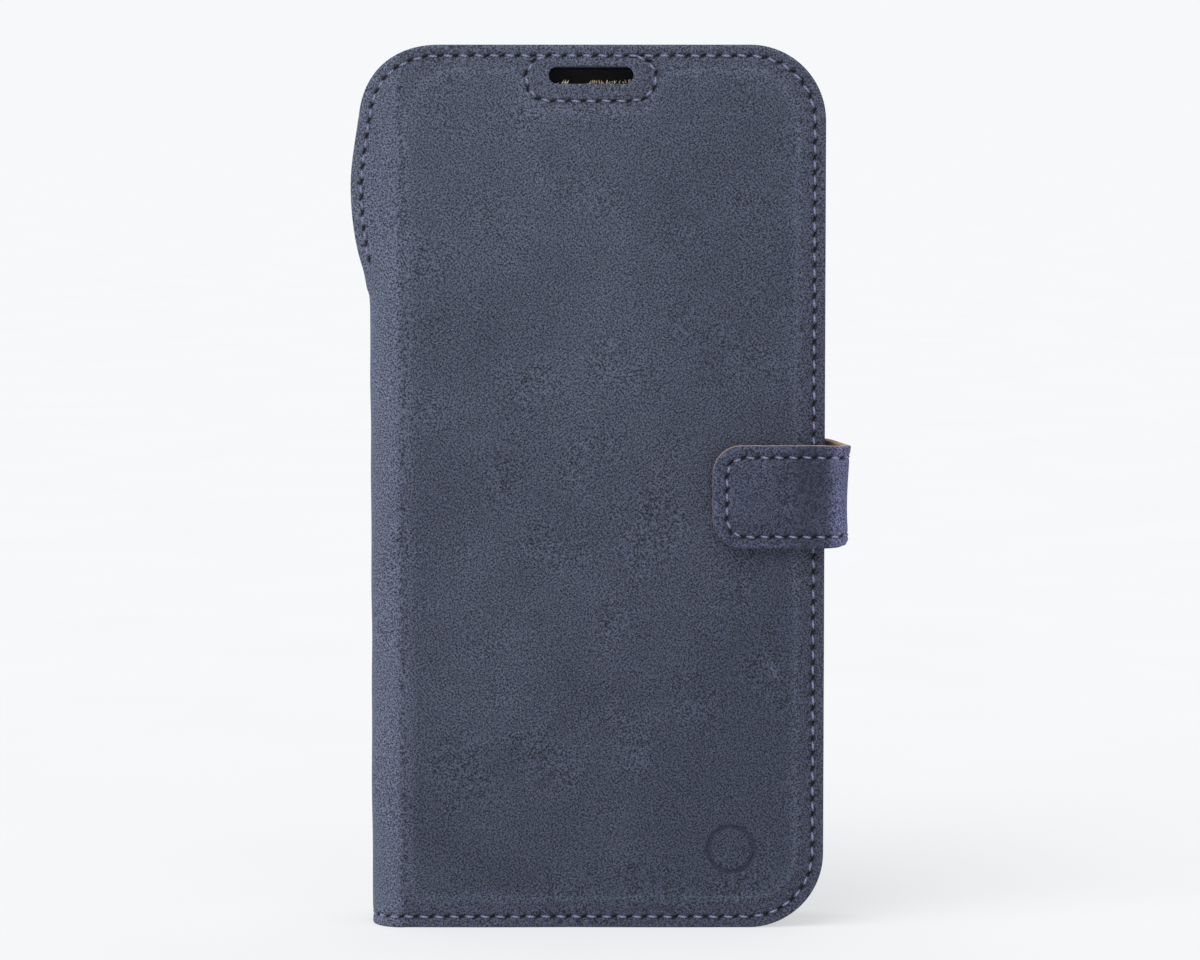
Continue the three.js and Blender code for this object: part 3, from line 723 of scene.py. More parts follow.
def grained(name, colours, grain, roughness, relief, **sockets):
    """A solid whose colour, shine and relief follow one grain, given as stretch, size, detail, roughness."""
    look = Look(name, **sockets)
    stretch, size, detail, coarse = grain
    grain = look.noise(look.solid(stretch), size, detail, coarse)
    colour = look.mix(look.span(grain, 0.3, 0.7), linear(colours[0]), linear(colours[1]))
    rough = look.span(grain, 0.3, 0.7, *roughness)
    return look.finish(colour, rough, look.bump(grain, *relief))


def fibre_board(name, dark, light):
    """Pressed board or foam, flecked and fibrous."""
    return grained(name, (dark, light), ((1, 1, 0.35), 0.6, 4.0, 0.7), (0.95, 0.8), (0.08, 0.7),
                   Specular_IOR_Level=0.2)


def plated(name, bright, dull, rough):
    """Plated metal with faint brushing."""
    return grained(name, (bright, dull), ((1, 1, 14), 0.4, 3.0, 0.6), (rough - 0.05, rough + 0.1),
                   (0.02, 0.4), Metallic=1.0)


# bright is the worn edges' colour and also the painted highlight on the spine and over the board's edges.
NUBUCK = nubuck("navy_nubuck", (52, 58, 72), (73, 79, 94), (56, 59, 74), (88, 94, 112))
# The strap's bright colour is mostly the painted highlight on its bend.
STRAP_NUBUCK = nubuck("strap_nubuck", (47, 51, 66), (75, 82, 101), (52, 56, 73), (95, 98, 130))
POCKET_NUBUCK = nubuck("pocket_nubuck", (48, 53, 68), (65, 71, 88), (48, 52, 66), (78, 82, 100))
CUT_EDGE = suede("dyed_cut_edge", (45, 43, 52), (84, 78, 82))
TAN_EDGE = suede("tan_cut_edge", (128, 84, 52), (206, 150, 104))
STRAP_EDGE = suede("strap_cut_edge", (96, 74, 68), (164, 130, 112))
SUEDE = suede("tan_suede", (112, 70, 42), (190, 128, 80))
PALE_FIBRE = suede("pale_fibre", (140, 120, 96), (220, 202, 174))
LINING_CLOTH = microfibre("navy_microfibre", (42, 46, 60), (62, 67, 84))
# The thread's dark and light colours are its painted shade and painted highlight.
THREAD = waxed_thread("navy_waxed_thread", (18, 19, 30), (138, 143, 180))


# ---- Outlines of the sheets ----

FLARE_START = (-29, TOP)
SHOULDER = (-44.2, 157)
WIDEST = (-46.0, 142)
TUCK = (-44.7, 127.6)
STITCH_STOP = 129

FRONT_FREE = chain(
    line((SEAM, 0), (FREE - CORNER, 0)),
    arc(FREE - CORNER, CORNER, CORNER, -90, 0),
    arc(FREE - CORNER, TOP - CORNER, CORNER, 0, 90),
    line((FREE - CORNER, TOP), FLARE_START),
    bezier(FLARE_START, (-38, TOP), (-43.3, 164.5), SHOULDER),
    bezier(SHOULDER, (-45.2, 150.5), (-46.0, 147), WIDEST),
    bezier(WIDEST, (-46.0, 136.5), (-45.3, 131.5), TUCK),
    bezier(TUCK, (-44.4, 125), (-45.4, SPINE_TOP), (SEAM, SPINE_TOP)),
)
REAR_FREE = chain(
    line((SEAM, 0), (FREE - CORNER, 0)),
    arc(FREE - CORNER, CORNER, CORNER, -90, 0),
    arc(FREE - BACK_CORNER, BACK_TOP - BACK_CORNER, BACK_CORNER, 0, 90),
    line((FREE - BACK_CORNER, BACK_TOP), (FOLD + 3, BACK_TOP)),
    bezier((FOLD + 3, BACK_TOP), (FOLD - 1, BACK_TOP), (FOLD - 3, SPINE_TOP), (FOLD - 7, SPINE_TOP)),
    line((FOLD - 7, SPINE_TOP), (SEAM, SPINE_TOP)),
)


def sheet_outline(free, gap=0.62, inset=0.0):
    """A closed outline: the free edge, moved in, and the seam at the middle of the spine."""
    edge = spaced(shifted(spaced(free, gap), inset), gap)
    edge[0] = (SEAM, inset)
    edge[-1] = (SEAM, SPINE_TOP - inset)
    seam = spaced(line(edge[-1], edge[0]), 1.2)[1:-1]
    return np.concatenate([edge, seam])


def sewing_line(free, stop):
    inset = shifted(spaced(free, 0.5), STITCH_INSET)
    keep = np.arange(len(inset)) <= stop(inset)
    return inset[keep & (inset[:, 0] > SEAM + 1)]


def flare_stop(run):
    """The last point before the stitching stops near the flare's foot."""
    down = (run[:, 1] < STITCH_STOP) & (run[:, 0] < FOLD)
    down &= np.arange(len(run)) > len(run) // 2
    return np.argmax(down) - 1


FRONT_SEWN = sewing_line(FRONT_FREE, flare_stop)
REAR_SEWN = sewing_line(REAR_FREE, lambda run: len(run))

SLOT_Z = 164.2
SLOT_HALF = 8.1
SLOT_RADIUS = 1.65
LINING_CLEARANCE = 0.5
SLOT_SEWN_HALF = 8.2
SLOT_SEWN_Z = SLOT_Z - 0.6
SLOT_SEWN_RADIUS = (TOP - STITCH_INSET - 159.3) / 2


def stadium(half, z, radius):
    return chain(
        arc(half - radius, z, radius, -90, 90, 16),
        arc(radius - half, z, radius, 90, 270, 16),
    )


SLOT = ring(stadium(SLOT_HALF, SLOT_Z, SLOT_RADIUS), 0.35)
LINING_SLOT = ring(stadium(SLOT_HALF + LINING_CLEARANCE, SLOT_Z, SLOT_RADIUS + LINING_CLEARANCE), 0.5)
SLOT_SEWN = chain(
    arc(-SLOT_SEWN_HALF, SLOT_SEWN_Z, SLOT_SEWN_RADIUS, 90, 270, 16),
    arc(SLOT_SEWN_HALF, SLOT_SEWN_Z, SLOT_SEWN_RADIUS, -90, 90, 16),
)

BOARD_LEFT, BOARD_RIGHT = (x - MID_X for x in (BOARD_LOW[0], BOARD_HIGH[0]))
NOTCH = ((14.7, BOARD_HIGH[2]), (12.2, 161.5), (10.7, 157.6))
BOARD_OUTLINE = chain(
    arc(BOARD_LEFT + 3, BOARD_LOW[2] + 3, 3, 180, 270, 8),
    arc(BOARD_RIGHT - 10, BOARD_LOW[2] + 10, 10, 270, 360),
    arc(BOARD_RIGHT - 10, BOARD_HIGH[2] - 10, 10, 0, 90),
    line(*NOTCH, *[(-x, z) for x, z in reversed(NOTCH)]),
    arc(BOARD_LEFT + 10, BOARD_HIGH[2] - 10, 10, 90, 180),
)
BACK_BOARD_OUTLINE = rounded_box(BACK_BOARD_LOW[0] - MID_X, BACK_BOARD_HIGH[0] - MID_X,
                                 BACK_BOARD_LOW[2], BACK_BOARD_HIGH[2], (3, 10, 5, 3))

MARK_CENTRE = np.array([27.0, 15.3])
MARK_RADIUS = 4.4
MARK_WIDTH = 0.9
MARK_DEPTH = 0.34


# ---- Relief of the sheets ----

def plateau(points, outline):
    """One over the stiffening board, nothing beyond it, with a soft step between."""
    return smooth(-0.9, 0.7, depth_inside(points, outline))


def spine_side(points):
    return smooth(FOLD + 0.5, FOLD - 1.3, points[:, 0])


# How much lighter the spine's bend and its flare are painted, as a painted highlight.
SPINE_LIGHT_BEND = 0.95
SPINE_LIGHT_FLARE = 0.85
FLARE_RISE = 16


def painted_spine_light(points):
    """Painted light: the spine's bend, which faces the key light, is painted lighter, and the flare above it
    a little less.
    """
    bend = smooth(FOLD + 0.6, FOLD - 1.6, points[:, 0])
    flare = smooth(SPINE_TOP, SPINE_TOP + FLARE_RISE, points[:, 1])
    return bend * (SPINE_LIGHT_BEND + (SPINE_LIGHT_FLARE - SPINE_LIGHT_BEND) * flare)


def board_edge_highlight(points, outline):
    """A painted highlight: the leather is painted a little lighter where it turns over the board's edge."""
    return 0.32 * np.exp(-((depth_inside(points, outline) - 0.6) / 0.9) ** 2)


SCUFF_CENTRE = np.array([31.5, 48.0])
SCUFF_RADIUS = 4.2


def scuff(points):
    """A faint crescent where the strap's tip has rubbed."""
    offset = points - SCUFF_CENTRE
    away = np.linalg.norm(offset, axis=1)
    turn = np.arctan2(offset[:, 1], offset[:, 0])
    return 0.4 * np.exp(-((away - SCUFF_RADIUS) / 0.6) ** 2) * np.exp(-((turn - 0.6) / 0.7) ** 2)


def past_board(points, outline):
    """One beside the stiffening board, nothing over it or on the spine."""
    return 1 - np.maximum(plateau(points, outline), spine_side(points))


def rounded_edge(points, edge, reach):
    """How far a face drops as it comes to its cut edge."""
    t = np.clip(1 - distance(points, edge) / reach, 0, 1)
    return reach * 0.8 * (1 - np.sqrt(np.maximum(1 - t * t, 0)))


def sewn(points, rows, holes):
    """The groove that a row of stitches pulls down, and the hole at each end of a stitch."""
    away = np.min([distance(points, row) for row in rows], axis=0)
    # The hole mask also paints shade into each hole.
    hole = np.exp(-(near(points, holes) / 0.34) ** 2)
    return GROOVE * np.exp(-(away / 0.7) ** 2) + HOLE_DEPTH * hole, hole


def marked(points, **marks):
    """The marks that a material reads, blank where none are given."""
    return {mark: marks.get(mark, np.zeros(len(points))) for mark in ("pit", "press", "wear", "margin")}


class Half:
    """The cover's or the back's half of the outer leather, with its side of the spine."""

    def __init__(self, free, board, rows, waves):
        self.free, self.board, self.rows, self.waves = free, board, rows, waves
        self.outline, self.holes = sheet_outline(free), stitch_holes(rows)

    def level(self, points):
        unevenness = sum(undulation(points, *wave) for wave in self.waves)
        return BOARD_RISE * past_board(points, self.board) + unevenness

    def face(self, points):
        pulled, hole = sewn(points, self.rows, self.holes)
        depth = self.level(points) + pulled + rounded_edge(points, self.free, EDGE_ROUND)
        edge = 1 - smooth(0.1, RUB_REACH, distance(points, self.free))
        # Wear on the cut edge is real; the lightening of the spine and over the board's edge is painted
        # highlight.
        wear = np.max([0.25 * edge, painted_spine_light(points), board_edge_highlight(points, self.board)], axis=0)
        return depth, marked(points, pit=hole, wear=wear, margin=1 - plateau(points, self.board))

    def hidden(self, points):
        """The hidden face fills in where no board lies behind it."""
        filled = LEATHER + SKIVE * (1 - plateau(points, self.board))
        return np.where(points[:, 0] < FOLD, LEATHER, filled)


COVER = Half(FRONT_FREE, BOARD_OUTLINE, [FRONT_SEWN, SLOT_SEWN], ((27, 0.07, 3), (9, 0.02, 4)))
BACK = Half(REAR_FREE, BACK_BOARD_OUTLINE, [REAR_SEWN], ((31, 0.07, 5), (8, 0.02, 6)))
SLOT_EDGE = np.concatenate([SLOT, SLOT[:1]])


def cover_face(points):
    """The cover's face also has its slot, its pressed ring and its scuff."""
    depth, marks = COVER.face(points)
    ring_away = np.abs(np.linalg.norm(points - MARK_CENTRE, axis=1) - MARK_RADIUS)
    pressed = 1 - smooth(MARK_WIDTH / 2 - 0.15, MARK_WIDTH / 2 + 0.2, ring_away)
    slot = 1 - smooth(0.1, 0.8, distance(points, SLOT_EDGE))
    marks["press"] = pressed
    marks["wear"] = np.max([marks["wear"], 0.25 * slot, scuff(points)], axis=0)
    return depth + MARK_DEPTH * pressed + rounded_edge(points, SLOT_EDGE, 0.4), marks


EDGE_STEPS = (0.14, 0.32, 0.6, 1.0)
SEAM_STEPS = (-1.0, -0.65, -0.35, 0.0, 0.35, 0.65, 1.0)
STEP_STEPS = (-1.1, -0.7, -0.3, 0.1, 0.5, 0.9)
SLOT_STEPS = (-0.14, -0.3, -0.55, -0.9)
MARK_STEPS = (-0.8, -0.55, -0.3, 0.0, 0.3, 0.55, 0.8)


def front_detail():
    mark = [arc(*MARK_CENTRE, MARK_RADIUS + r, 0, 360, 90) for r in MARK_STEPS]
    return np.concatenate([
        band(FRONT_FREE, EDGE_STEPS, 0.7),
        band(FRONT_SEWN, SEAM_STEPS, 0.55),
        band(SLOT_SEWN, SEAM_STEPS, 0.55),
        band(SLOT_EDGE, SLOT_STEPS, 0.4),
        band(BOARD_OUTLINE, STEP_STEPS, 0.9),
        hole_detail(COVER.holes),
        *mark,
    ])


def rear_detail():
    return np.concatenate([
        band(REAR_FREE, EDGE_STEPS, 0.7),
        band(REAR_SEWN, SEAM_STEPS, 0.55),
        band(BACK_BOARD_OUTLINE, STEP_STEPS, 0.9),
        hole_detail(BACK.holes),
    ])


# ---- The rear sheets past the seam, and pieces baked in place ----

def past_seam(u):
    """The rear sheets carry on where the front ones stop."""
    return 2 * SEAM - u


def over_front_fold(piece, shallow, deep):
    """Bakes a piece's placement into its mesh; it bends nothing. shallow is not used."""
    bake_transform(piece)


def over_rear_fold(piece, shallow, deep):
    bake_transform(piece)


OUTER_BLEND = (1.9, 5.4)
INNER_BLEND = (3.4, 5.8)


# ---- The leather ----

def make_outer_leather():
    front = sheet_piece("front_leather", COVER.outline, [SLOT], front_detail(), on_front, cover_face,
                        COVER.hidden, [NUBUCK, CUT_EDGE, LINING_CLOTH], grid=1.1)
    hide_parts("cover_leather", "spine_leather")
    over_front_fold(front, *OUTER_BLEND)
    rear = sheet_piece("rear_leather", BACK.outline, [], rear_detail(), on_rear, BACK.face,
                       BACK.hidden, [NUBUCK, CUT_EDGE, LINING_CLOTH], grid=1.3, unrolled=past_seam)
    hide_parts("back_leather", "spine_leather")
    over_rear_fold(rear, *OUTER_BLEND)


SLOT_FIBRES = 52
SLOT_TUFTS = 11
FIBRE_TAPER = (1.0, 0.8, 0.25)


def make_slot_fibres():
    """Loose tan fibres of the hide, along the lower edge and the ends of the slot."""
    vertices, faces, rests = [], [], []
    edge = spaced(SLOT, 0.05)
    low = edge[edge[:, 1] < SLOT_Z - 0.6 * SLOT_RADIUS]
    tufts = low[RANDOM.integers(len(low), size=SLOT_TUFTS)]
    for count in range(SLOT_FIBRES):
        root = tufts[RANDOM.integers(len(tufts))] + (RANDOM.normal(0, 0.45), 0)
        lean = RANDOM.normal(0, 0.5)
        tip = root + RANDOM.uniform(0.15, 0.85) * np.array([math.sin(lean), math.cos(lean)])
        depth = RANDOM.uniform(0.5, 1.4)
        wide = RANDOM.uniform(0.05, 0.11)
        base = [(-wide, 0, 0), (wide, 0, 0), (0, 0, wide)]
        for step, share in zip((root, (root + tip) / 2 + RANDOM.normal(0, 0.05, 2), tip), FIBRE_TAPER):
            for x, z, inward in base:
                flat = np.array([[step[0] + share * x, step[1] + share * z]])
                vertices.append(on_front(flat, np.array([depth + share * inward]))[0])
                rests.append((flat[0, 0], depth, flat[0, 1]))
        faces += tube_faces(count * len(base) * len(FIBRE_TAPER), len(base), len(FIBRE_TAPER))
    fibres = new_piece("slot_fibres", vertices, faces, [PALE_FIBRE], rest=rests)
    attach(fibres, "cover")


# ---- The linings ----

LINING_INSET = 0.55
LINING_DEPTH = 2.2
BOARD_STEP = 0.6
FLARE_DEPTH = 1.14


def lining_level(points, outline):
    """The lining lies on the board, and comes up to the leather past the board's edge and on the flare."""
    level = LINING_DEPTH - BOARD_STEP * past_board(points, outline)
    flare = smooth(SPINE_TOP - 1, SPINE_TOP + 4, points[:, 1]) * smooth(FOLD + 1.5, FOLD - 1.5, points[:, 0])
    return level + (FLARE_DEPTH - level) * flare


def make_lining(name, free, board, holes, place, sewn_row, unrolled=None):
    outline = sheet_outline(free, 1.0, LINING_INSET)
    row_holes = stitch_holes([sewn_row])

    def seen(points):
        pulled, hole = sewn(points, [sewn_row], row_holes)
        depth = lining_level(points, board) + LINING - 0.6 * pulled + undulation(points, 24, 0.06, 11)
        depth -= rounded_edge(points, outline, 0.3)
        return depth, marked(points, pit=hole)

    def hidden(points):
        return lining_level(points, board)

    detail = np.concatenate([
        band(sewn_row, (-0.8, -0.4, 0.0, 0.4, 0.8), 0.7),
        band(board, (-1.0, -0.4, 0.2, 0.8), 1.2),
        hole_detail(row_holes),
    ])
    return sheet_piece(name, outline, holes, detail, place, seen, hidden,
                       [LINING_CLOTH, CUT_EDGE, LINING_CLOTH], grid=1.8, unrolled=unrolled)


def make_linings():
    front = make_lining("front_lining", FRONT_FREE, BOARD_OUTLINE, [LINING_SLOT], on_front, FRONT_SEWN)
    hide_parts("cover_lining", "spine_lining")
    over_front_fold(front, *INNER_BLEND)
    rear = make_lining("rear_lining", REAR_FREE, BACK_BOARD_OUTLINE, [], on_rear, REAR_SEWN, past_seam)
    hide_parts("back_lining", "spine_lining")
    over_rear_fold(rear, *INNER_BLEND)


# ---- Stitching of the case ----

def pulled_level(level):
    """Where thread lies in the groove that it pulls."""
    return lambda points: level(points) + GROOVE


def make_case_stitches():
    slot = stitches("slot_stitches", [SLOT_SEWN], on_front, pulled_level(COVER.level), THREAD)
    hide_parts("speaker_slot_thread")
    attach(slot, "cover")
    front = stitches("front_stitches", [FRONT_SEWN], on_front, pulled_level(COVER.level), THREAD)
    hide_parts("cover_thread", "spine_thread_bottom")
    over_front_fold(front, *OUTER_BLEND)
    rear = stitches("rear_stitches", [REAR_SEWN], on_rear, pulled_level(BACK.level), THREAD)
    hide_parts("back_thread", "spine_thread_top")
    over_rear_fold(rear, *OUTER_BLEND)


def make_inner_stitches():
    for name, row, place, board, over_fold in (
        ("front_inner_stitches", FRONT_SEWN, on_front, BOARD_OUTLINE, over_front_fold),
        ("rear_inner_stitches", REAR_SEWN, on_rear, BACK_BOARD_OUTLINE, over_rear_fold),
    ):
        thread = stitches(name, [row], place, lambda points: lining_level(points, board) + LINING - 0.14,
                          THREAD, outward=-1.0)
        over_fold(thread, *INNER_BLEND)


# ---- Pockets ----

THUMB_RADIUS = 8
THUMB_Z = 85
POCKET_HEM = 1.7
POCKET_INSET = 1.6
POCKET_PITCH = 2.6


def pocket_outline(low, high, radius, thumb):
    """A pocket panel, open towards the spine, with a thumb notch in its opening where it has one."""
    left, right = low[0] - MID_X, high[0] - MID_X
    shape = rounded_box(left, right, low[2], high[2], (0.6, radius, radius, 0.6))
    if not thumb:
        return ring(shape, 0.7)
    notch = arc(left - 0.4, THUMB_Z, THUMB_RADIUS, 90, -90, 24)
    return ring(np.concatenate([shape, notch[1:-1]]), 0.5)


def pocket_row(low, high, radius):
    """The stitching along a pocket's three closed sides."""
    left, turn = low[0] - MID_X + 1, high[0] - MID_X - radius
    bottom, top = low[2] + POCKET_INSET, high[2] - POCKET_INSET
    return chain(
        line((left, bottom), (turn, bottom)),
        arc(turn, low[2] + radius, radius - POCKET_INSET, -90, 0),
        arc(turn, high[2] - radius, radius - POCKET_INSET, 0, 90),
        line((turn, top), (left, top)),
    )


def make_pocket(node, radius, thumb):
    low, high = cad(node)
    outline = pocket_outline(low, high, radius, thumb)
    row = pocket_row(low, high, radius)
    holes = stitch_holes([row], POCKET_PITCH)
    top, base = high[1] - FRONT, low[1] - FRONT
    edge = np.concatenate([outline, outline[:1]])
    mouth = outline[outline[:, 0] < low[0] - MID_X + THUMB_RADIUS + 0.5]

    def seen(points):
        pulled, hole = sewn(points, [row], holes)
        hem = 0.12 * np.exp(-((distance(points, mouth) - POCKET_HEM) / 0.3) ** 2)
        depth = top - 0.5 * pulled - hem - rounded_edge(points, edge, 0.22)
        wear = 1 - smooth(0.1, 0.7, distance(points, edge))
        return depth, marked(points, pit=hole, press=hem * 5, wear=wear)

    detail = np.concatenate([
        band(edge, (0.12, 0.3, 0.6, 1.3, 1.7, 2.1), 0.8),
        band(row, (-0.6, 0.0, 0.6), 0.7),
        hole_detail(holes),
    ])
    panel = sheet_piece(node + "_panel", outline, [], detail, on_front, seen,
                        lambda points: np.full(len(points), base),
                        [POCKET_NUBUCK, CUT_EDGE, CUT_EDGE], grid=2.2)
    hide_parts(node)
    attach(panel, "cover")
    thread = stitches(node + "_stitches", [row], on_front, lambda points: np.full(len(points), top - 0.1),
                      THREAD, pitch=POCKET_PITCH, radius=0.22, outward=-1.0)
    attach(thread, "cover")


def make_pockets():
    make_pocket("note_pocket", 10, False)
    for i in (1, 2, 3):
        make_pocket(f"card_pocket_{i}", 3, True)


# ---- The strap ----

STRAP_TIP_RADIUS = 5.5
STRAP_SEWN_TURN = 5.6
STRAP_SEWN_RADIUS = 2.9
STRAP_INSET = 2.25
STRAP_PITCH = 2.7
STRAP_FLAT_DEPTH = 0.5
STRAP_HIDE = 1.2
STRAP_LINING = 0.6
FLAP_CORE = 1.1
BEND_START = STRAP_OUT - STRAP_BEND
BEND_END = BEND_START + STRAP_BEND * math.pi / 2
BUMP_LOW = (MAGNET_LOW[0] - MID_X - 0.2, MAGNET_LOW[2] - 0.6)
BUMP_HIGH = (MAGNET_HIGH[0] - MID_X + 0.2, MAGNET_HIGH[2] + 0.6)
BUMP = rounded_box(BUMP_LOW[0], BUMP_HIGH[0], BUMP_LOW[1], BUMP_HIGH[1], (1.2,) * 4)


def round_tip(start, turn, radius, inset, steps):
    """A run along the strap's upper edge, round its tip and back along the lower edge."""
    low, high, corner = STRAP_Z[0] + inset, STRAP_Z[1] - inset, STRAP_TIP + turn
    return chain(
        line((start, high), (corner, high)),
        arc(corner, high - radius, radius, 90, 180, steps),
        arc(corner, low + radius, radius, 180, 270, steps),
        line((corner, low), (start, low)),
    )


STRAP_FREE = round_tip(STRAP_LAST, STRAP_TIP_RADIUS, STRAP_TIP_RADIUS, 0, 24)
STRAP_OUTLINE = ring(STRAP_FREE, 0.55)
STRAP_SEWN = round_tip(STRAP_LAST - 1, STRAP_SEWN_TURN, STRAP_SEWN_RADIUS, STRAP_INSET, 8)
STRAP_HOLES = stitch_holes([STRAP_SEWN], STRAP_PITCH)


def strap_level(points):
    """The strap's face stands out over its magnet, and comes back out to the bend."""
    bump = smooth(-1.5, 0.9, depth_inside(points, BUMP))
    bend = smooth(BEND_START - 4.5, BEND_START + 0.5, points[:, 0])
    return STRAP_FLAT_DEPTH * (1 - np.maximum(bump, bend)) + undulation(points, 15, 0.05, 21)


def strap_inner(points):
    """Where the leather ends and the lining starts: the flap's core holds them apart."""
    return STRAP_HIDE + FLAP_CORE * (1 - smooth(BEND_START - 3.4, BEND_START - 0.4, points[:, 0]))


def strap_face(points):
    pulled, hole = sewn(points, [STRAP_SEWN], STRAP_HOLES)
    depth = strap_level(points) + 0.9 * pulled + rounded_edge(points, STRAP_FREE, 0.4)
    edge = 1 - smooth(0.1, 1.0, distance(points, STRAP_FREE))
    # Painted highlight: the strap's bend is painted lighter where it turns to the light.
    bend = smooth(BEND_START - 2.5, BEND_START + 1.0, points[:, 0])
    bend *= 1 - smooth(BEND_END + 1, BEND_END + 7, points[:, 0])
    # Painted shade in the dip between the magnet's bump and the bend, carried on the pressed mark.
    shade = np.exp(-((points[:, 0] - (BUMP_HIGH[0] + BEND_START) / 2) / 3.4) ** 2)
    return depth, marked(points, pit=hole, press=0.9 * shade, wear=np.clip(0.15 * edge + bend, 0, 1),
                         margin=1 - smooth(1.0, 2.4, distance(points, STRAP_FREE)))


def over_strap_bend(piece):
    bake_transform(piece)


def make_strap():
    detail = np.concatenate([
        band(STRAP_FREE, EDGE_STEPS, 0.6),
        band(STRAP_SEWN, SEAM_STEPS, 0.5),
        band(BUMP, (-1.4, -0.8, -0.2, 0.4, 1.0), 0.8),
        hole_detail(STRAP_HOLES),
    ])
    face = sheet_piece("strap_leather", STRAP_OUTLINE, [], detail, on_strap, strap_face,
                       lambda points: strap_inner(points) - 0.05,
                       [STRAP_NUBUCK, STRAP_EDGE, TAN_EDGE], grid=0.8)
    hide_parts("strap_side_leather", "strap_flap_leather", "strap_flap_core")
    over_strap_bend(face)

    def lining_face(points):
        edge = rounded_edge(points, STRAP_FREE, 0.25)
        depth = strap_inner(points) + STRAP_LINING + undulation(points, 8, 0.05, 22) - edge
        return depth, marked(points)

    lining = sheet_piece("strap_lining", STRAP_OUTLINE, [], detail, on_strap, lining_face, strap_inner,
                         [SUEDE, TAN_EDGE, TAN_EDGE], grid=0.9)
    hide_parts("strap_side_lining", "strap_flap_lining")
    over_strap_bend(lining)
    thread = stitches("strap_stitches", [STRAP_SEWN], on_strap, pulled_level(strap_level), THREAD,
                      pitch=STRAP_PITCH)
    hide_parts("strap_flap_thread", "strap_side_thread_upper", "strap_side_thread_lower")
    over_strap_bend(thread)


# ---- Carried-over CAD nodes ----

SMOOTH_LIMIT = math.radians(40)


def smooth_by_angle():
    """A modifier tree that shades gentle turns smooth and leaves real edges crisp."""
    tree = bpy.data.node_groups.new("smooth_by_angle", "GeometryNodeTree")
    for way in ("INPUT", "OUTPUT"):
        tree.interface.new_socket("Geometry", in_out=way, socket_type="NodeSocketGeometry")
    kinds = ("NodeGroupInput", "GeometryNodeSetShadeSmooth", "GeometryNodeSetShadeSmooth", "NodeGroupOutput",
             "GeometryNodeInputMeshEdgeAngle", "FunctionNodeCompare")
    start, faces, edges, end, angle, steep = (tree.nodes.new(kind) for kind in kinds)
    faces.inputs["Shade Smooth"].default_value = True
    edges.domain = "EDGE"
    edges.inputs["Shade Smooth"].default_value = False
    steep.inputs["B"].default_value = SMOOTH_LIMIT
    for output, target in (
        (angle.outputs["Unsigned Angle"], steep.inputs["A"]),
        (steep.outputs["Result"], edges.inputs["Selection"]),
        (start.outputs[0], faces.inputs["Geometry"]),
        (faces.outputs[0], edges.inputs["Geometry"]),
        (edges.outputs[0], end.inputs[0]),
    ):
        tree.links.new(output, target)
    return tree


def paint_nodes():
    """Gives each CAD node that stays its own procedural material."""
    looks = {
        "phone_tray": moulded("satin_black_tray", (14, 15, 18), (21, 22, 25)),
        "cover_board": fibre_board("grey_board", (96, 92, 86), (140, 134, 124)),
        "back_board": fibre_board("grey_board_back", (94, 90, 85), (138, 132, 123)),
        "closure_plate": plated("steel_plate", (190, 192, 196), (168, 170, 174), 0.35),
        "strap_magnet": plated("nickel_magnet", (202, 200, 194), (180, 178, 172), 0.25),
        "tray_adhesive_pad": fibre_board("foam_tape", (58, 58, 60), (84, 84, 86)),
        "strap_root_tab": fibre_board("strap_root_hide", (110, 72, 46), (170, 116, 74)),
    }
    for name, material in looks.items():
        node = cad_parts[name]
        for slot in range(len(node.material_slots)):
            node.material_slots[slot].material = material
    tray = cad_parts["phone_tray"]
    bevel = tray.modifiers.new("eased_edges", "BEVEL")
    bevel.width = 0.3 * MM
    bevel.segments = 2
    bevel.limit_method = "ANGLE"
    bevel.angle_limit = math.radians(35)
    tray.modifiers.new("smooth_turns", "NODES").node_group = smooth_by_angle()


# ---- Studio ----

FLOOR_REACH = 60.0
FLOOR_RINGS = 24
FLOOR_SIDES = 48
BACKDROP = (247, 248, 250)


def studio_paper():
    look = Look("studio_paper", Specular_IOR_Level=0.0, Emission_Color=linear(BACKDROP),
                Emission_Strength=0.575)
    mottle = look.noise(look.solid(), 60.0, 2.0)
    colour = look.mix(look.span(mottle, 0.3, 0.7), linear((145, 145, 146)), linear((147, 147, 148)))
    return look.finish(colour, look.span(mottle, 0.3, 0.7, 0.93, 0.97))


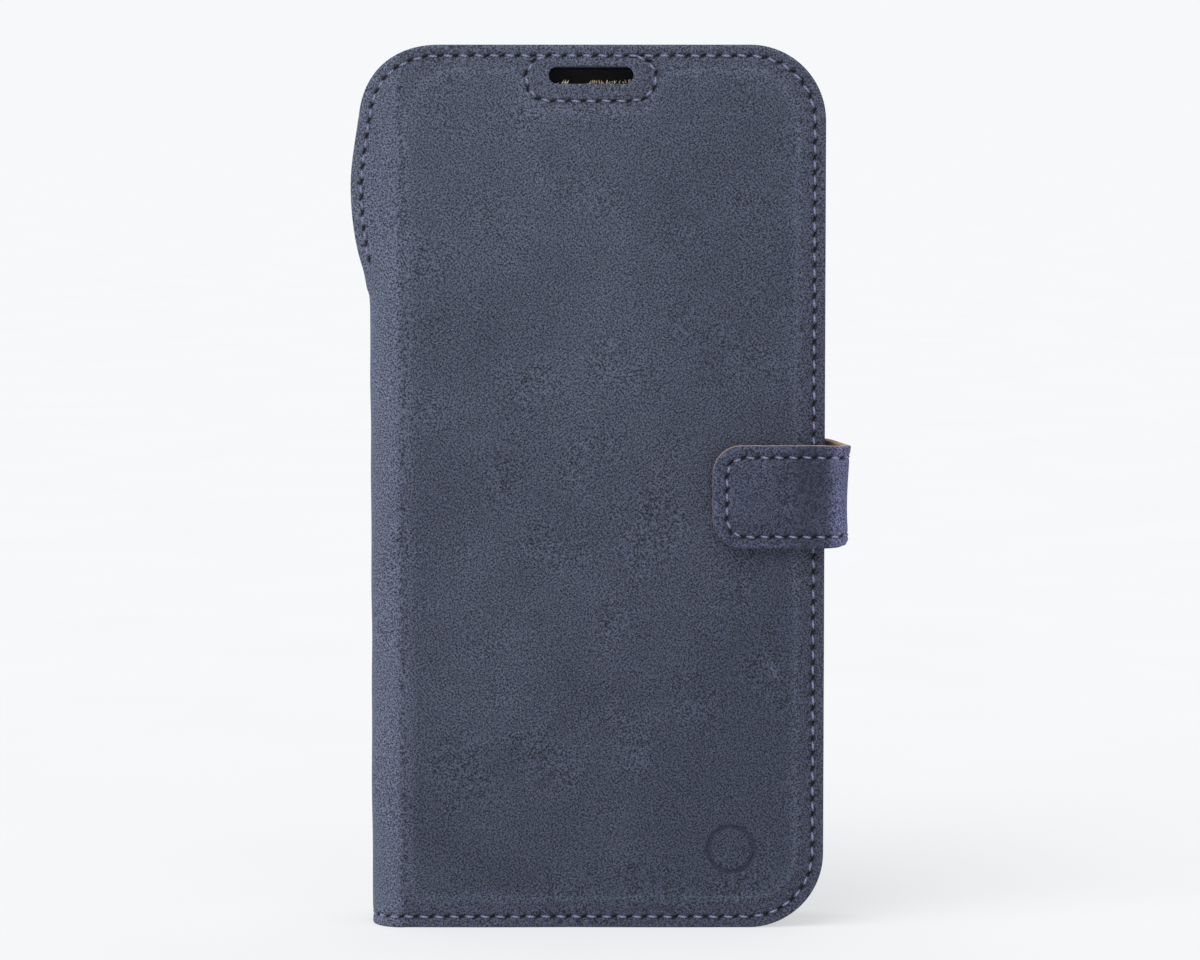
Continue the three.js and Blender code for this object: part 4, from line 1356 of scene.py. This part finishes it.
def make_floor():
    """A pale floor that runs out until it meets a backdrop of its own brightness."""
    vertices, faces = [(0, 0, 0)], []
    for i in range(FLOOR_RINGS):
        reach = FLOOR_REACH * ((i + 1) / FLOOR_RINGS) ** 3
        circle = arc(0, 0, reach, 0, 360, FLOOR_SIDES)[:-1]
        vertices += [(x, y, 0) for x, y in circle.tolist()]
    for j in range(FLOOR_SIDES):
        k = (j + 1) % FLOOR_SIDES
        faces.append((0, 1 + j, 1 + k))
        for low in range(1, 1 + (FLOOR_RINGS - 1) * FLOOR_SIDES, FLOOR_SIDES):
            high = low + FLOOR_SIDES
            faces.append((low + j, high + j, high + k, low + k))
    mesh = bpy.data.meshes.new("studio_floor")
    mesh.from_pydata(vertices, [], faces)
    mesh.materials.append(studio_paper())
    shown("studio_floor", mesh)


def add_sun(name, direction, spread, strength, colour):
    """Soft, even light from one direction, given as where it shines from."""
    data = bpy.data.lights.new(name, "SUN")
    data.angle = math.radians(spread)
    data.energy = strength
    data.color = colour
    shown(name, data).rotation_euler = Vector(direction).to_track_quat("Z", "Y").to_euler()


def make_lights():
    world = bpy.data.worlds.new("studio")
    world.use_nodes = True
    background = world.node_tree.nodes["Background"]
    background.inputs["Color"].default_value = linear(BACKDROP)
    background.inputs["Strength"].default_value = 1.0
    bpy.context.scene.world = world
    add_sun("key", (-0.65, -0.8, 1.4), 44, 1.75, (1.0, 0.99, 0.97))
    add_sun("fill", (0.8, -0.9, 0.25), 70, 0.1, (0.96, 0.98, 1.0))


CAMERA_DISTANCE = 900.0
CAMERA_ELEVATION = 5.0
CAMERA_AIM = (1.7, 86.9)
FRAME_WIDTH = 230.0


def make_camera():
    data = bpy.data.cameras.new("camera")
    data.sensor_width = 36.0
    data.lens = data.sensor_width * CAMERA_DISTANCE / FRAME_WIDTH
    data.clip_end = 30.0
    camera = shown("camera", data)
    aim = Vector((CAMERA_AIM[0] + MID_X, FRONT, CAMERA_AIM[1]))
    tilt = math.radians(CAMERA_ELEVATION)
    place = aim + CAMERA_DISTANCE * Vector((0, -math.cos(tilt), math.sin(tilt)))
    camera.location = place * MM
    camera.rotation_euler = (aim - place).to_track_quat("-Z", "Y").to_euler()
    bpy.context.scene.camera = camera


def set_tone():
    bpy.context.scene.view_settings.view_transform = "Standard"
    bpy.context.scene.view_settings.look = "None"


make_camera()
make_outer_leather()
make_slot_fibres()
make_linings()
make_case_stitches()
make_inner_stitches()
make_pockets()
make_strap()
paint_nodes()
make_floor()
make_lights()
set_tone()
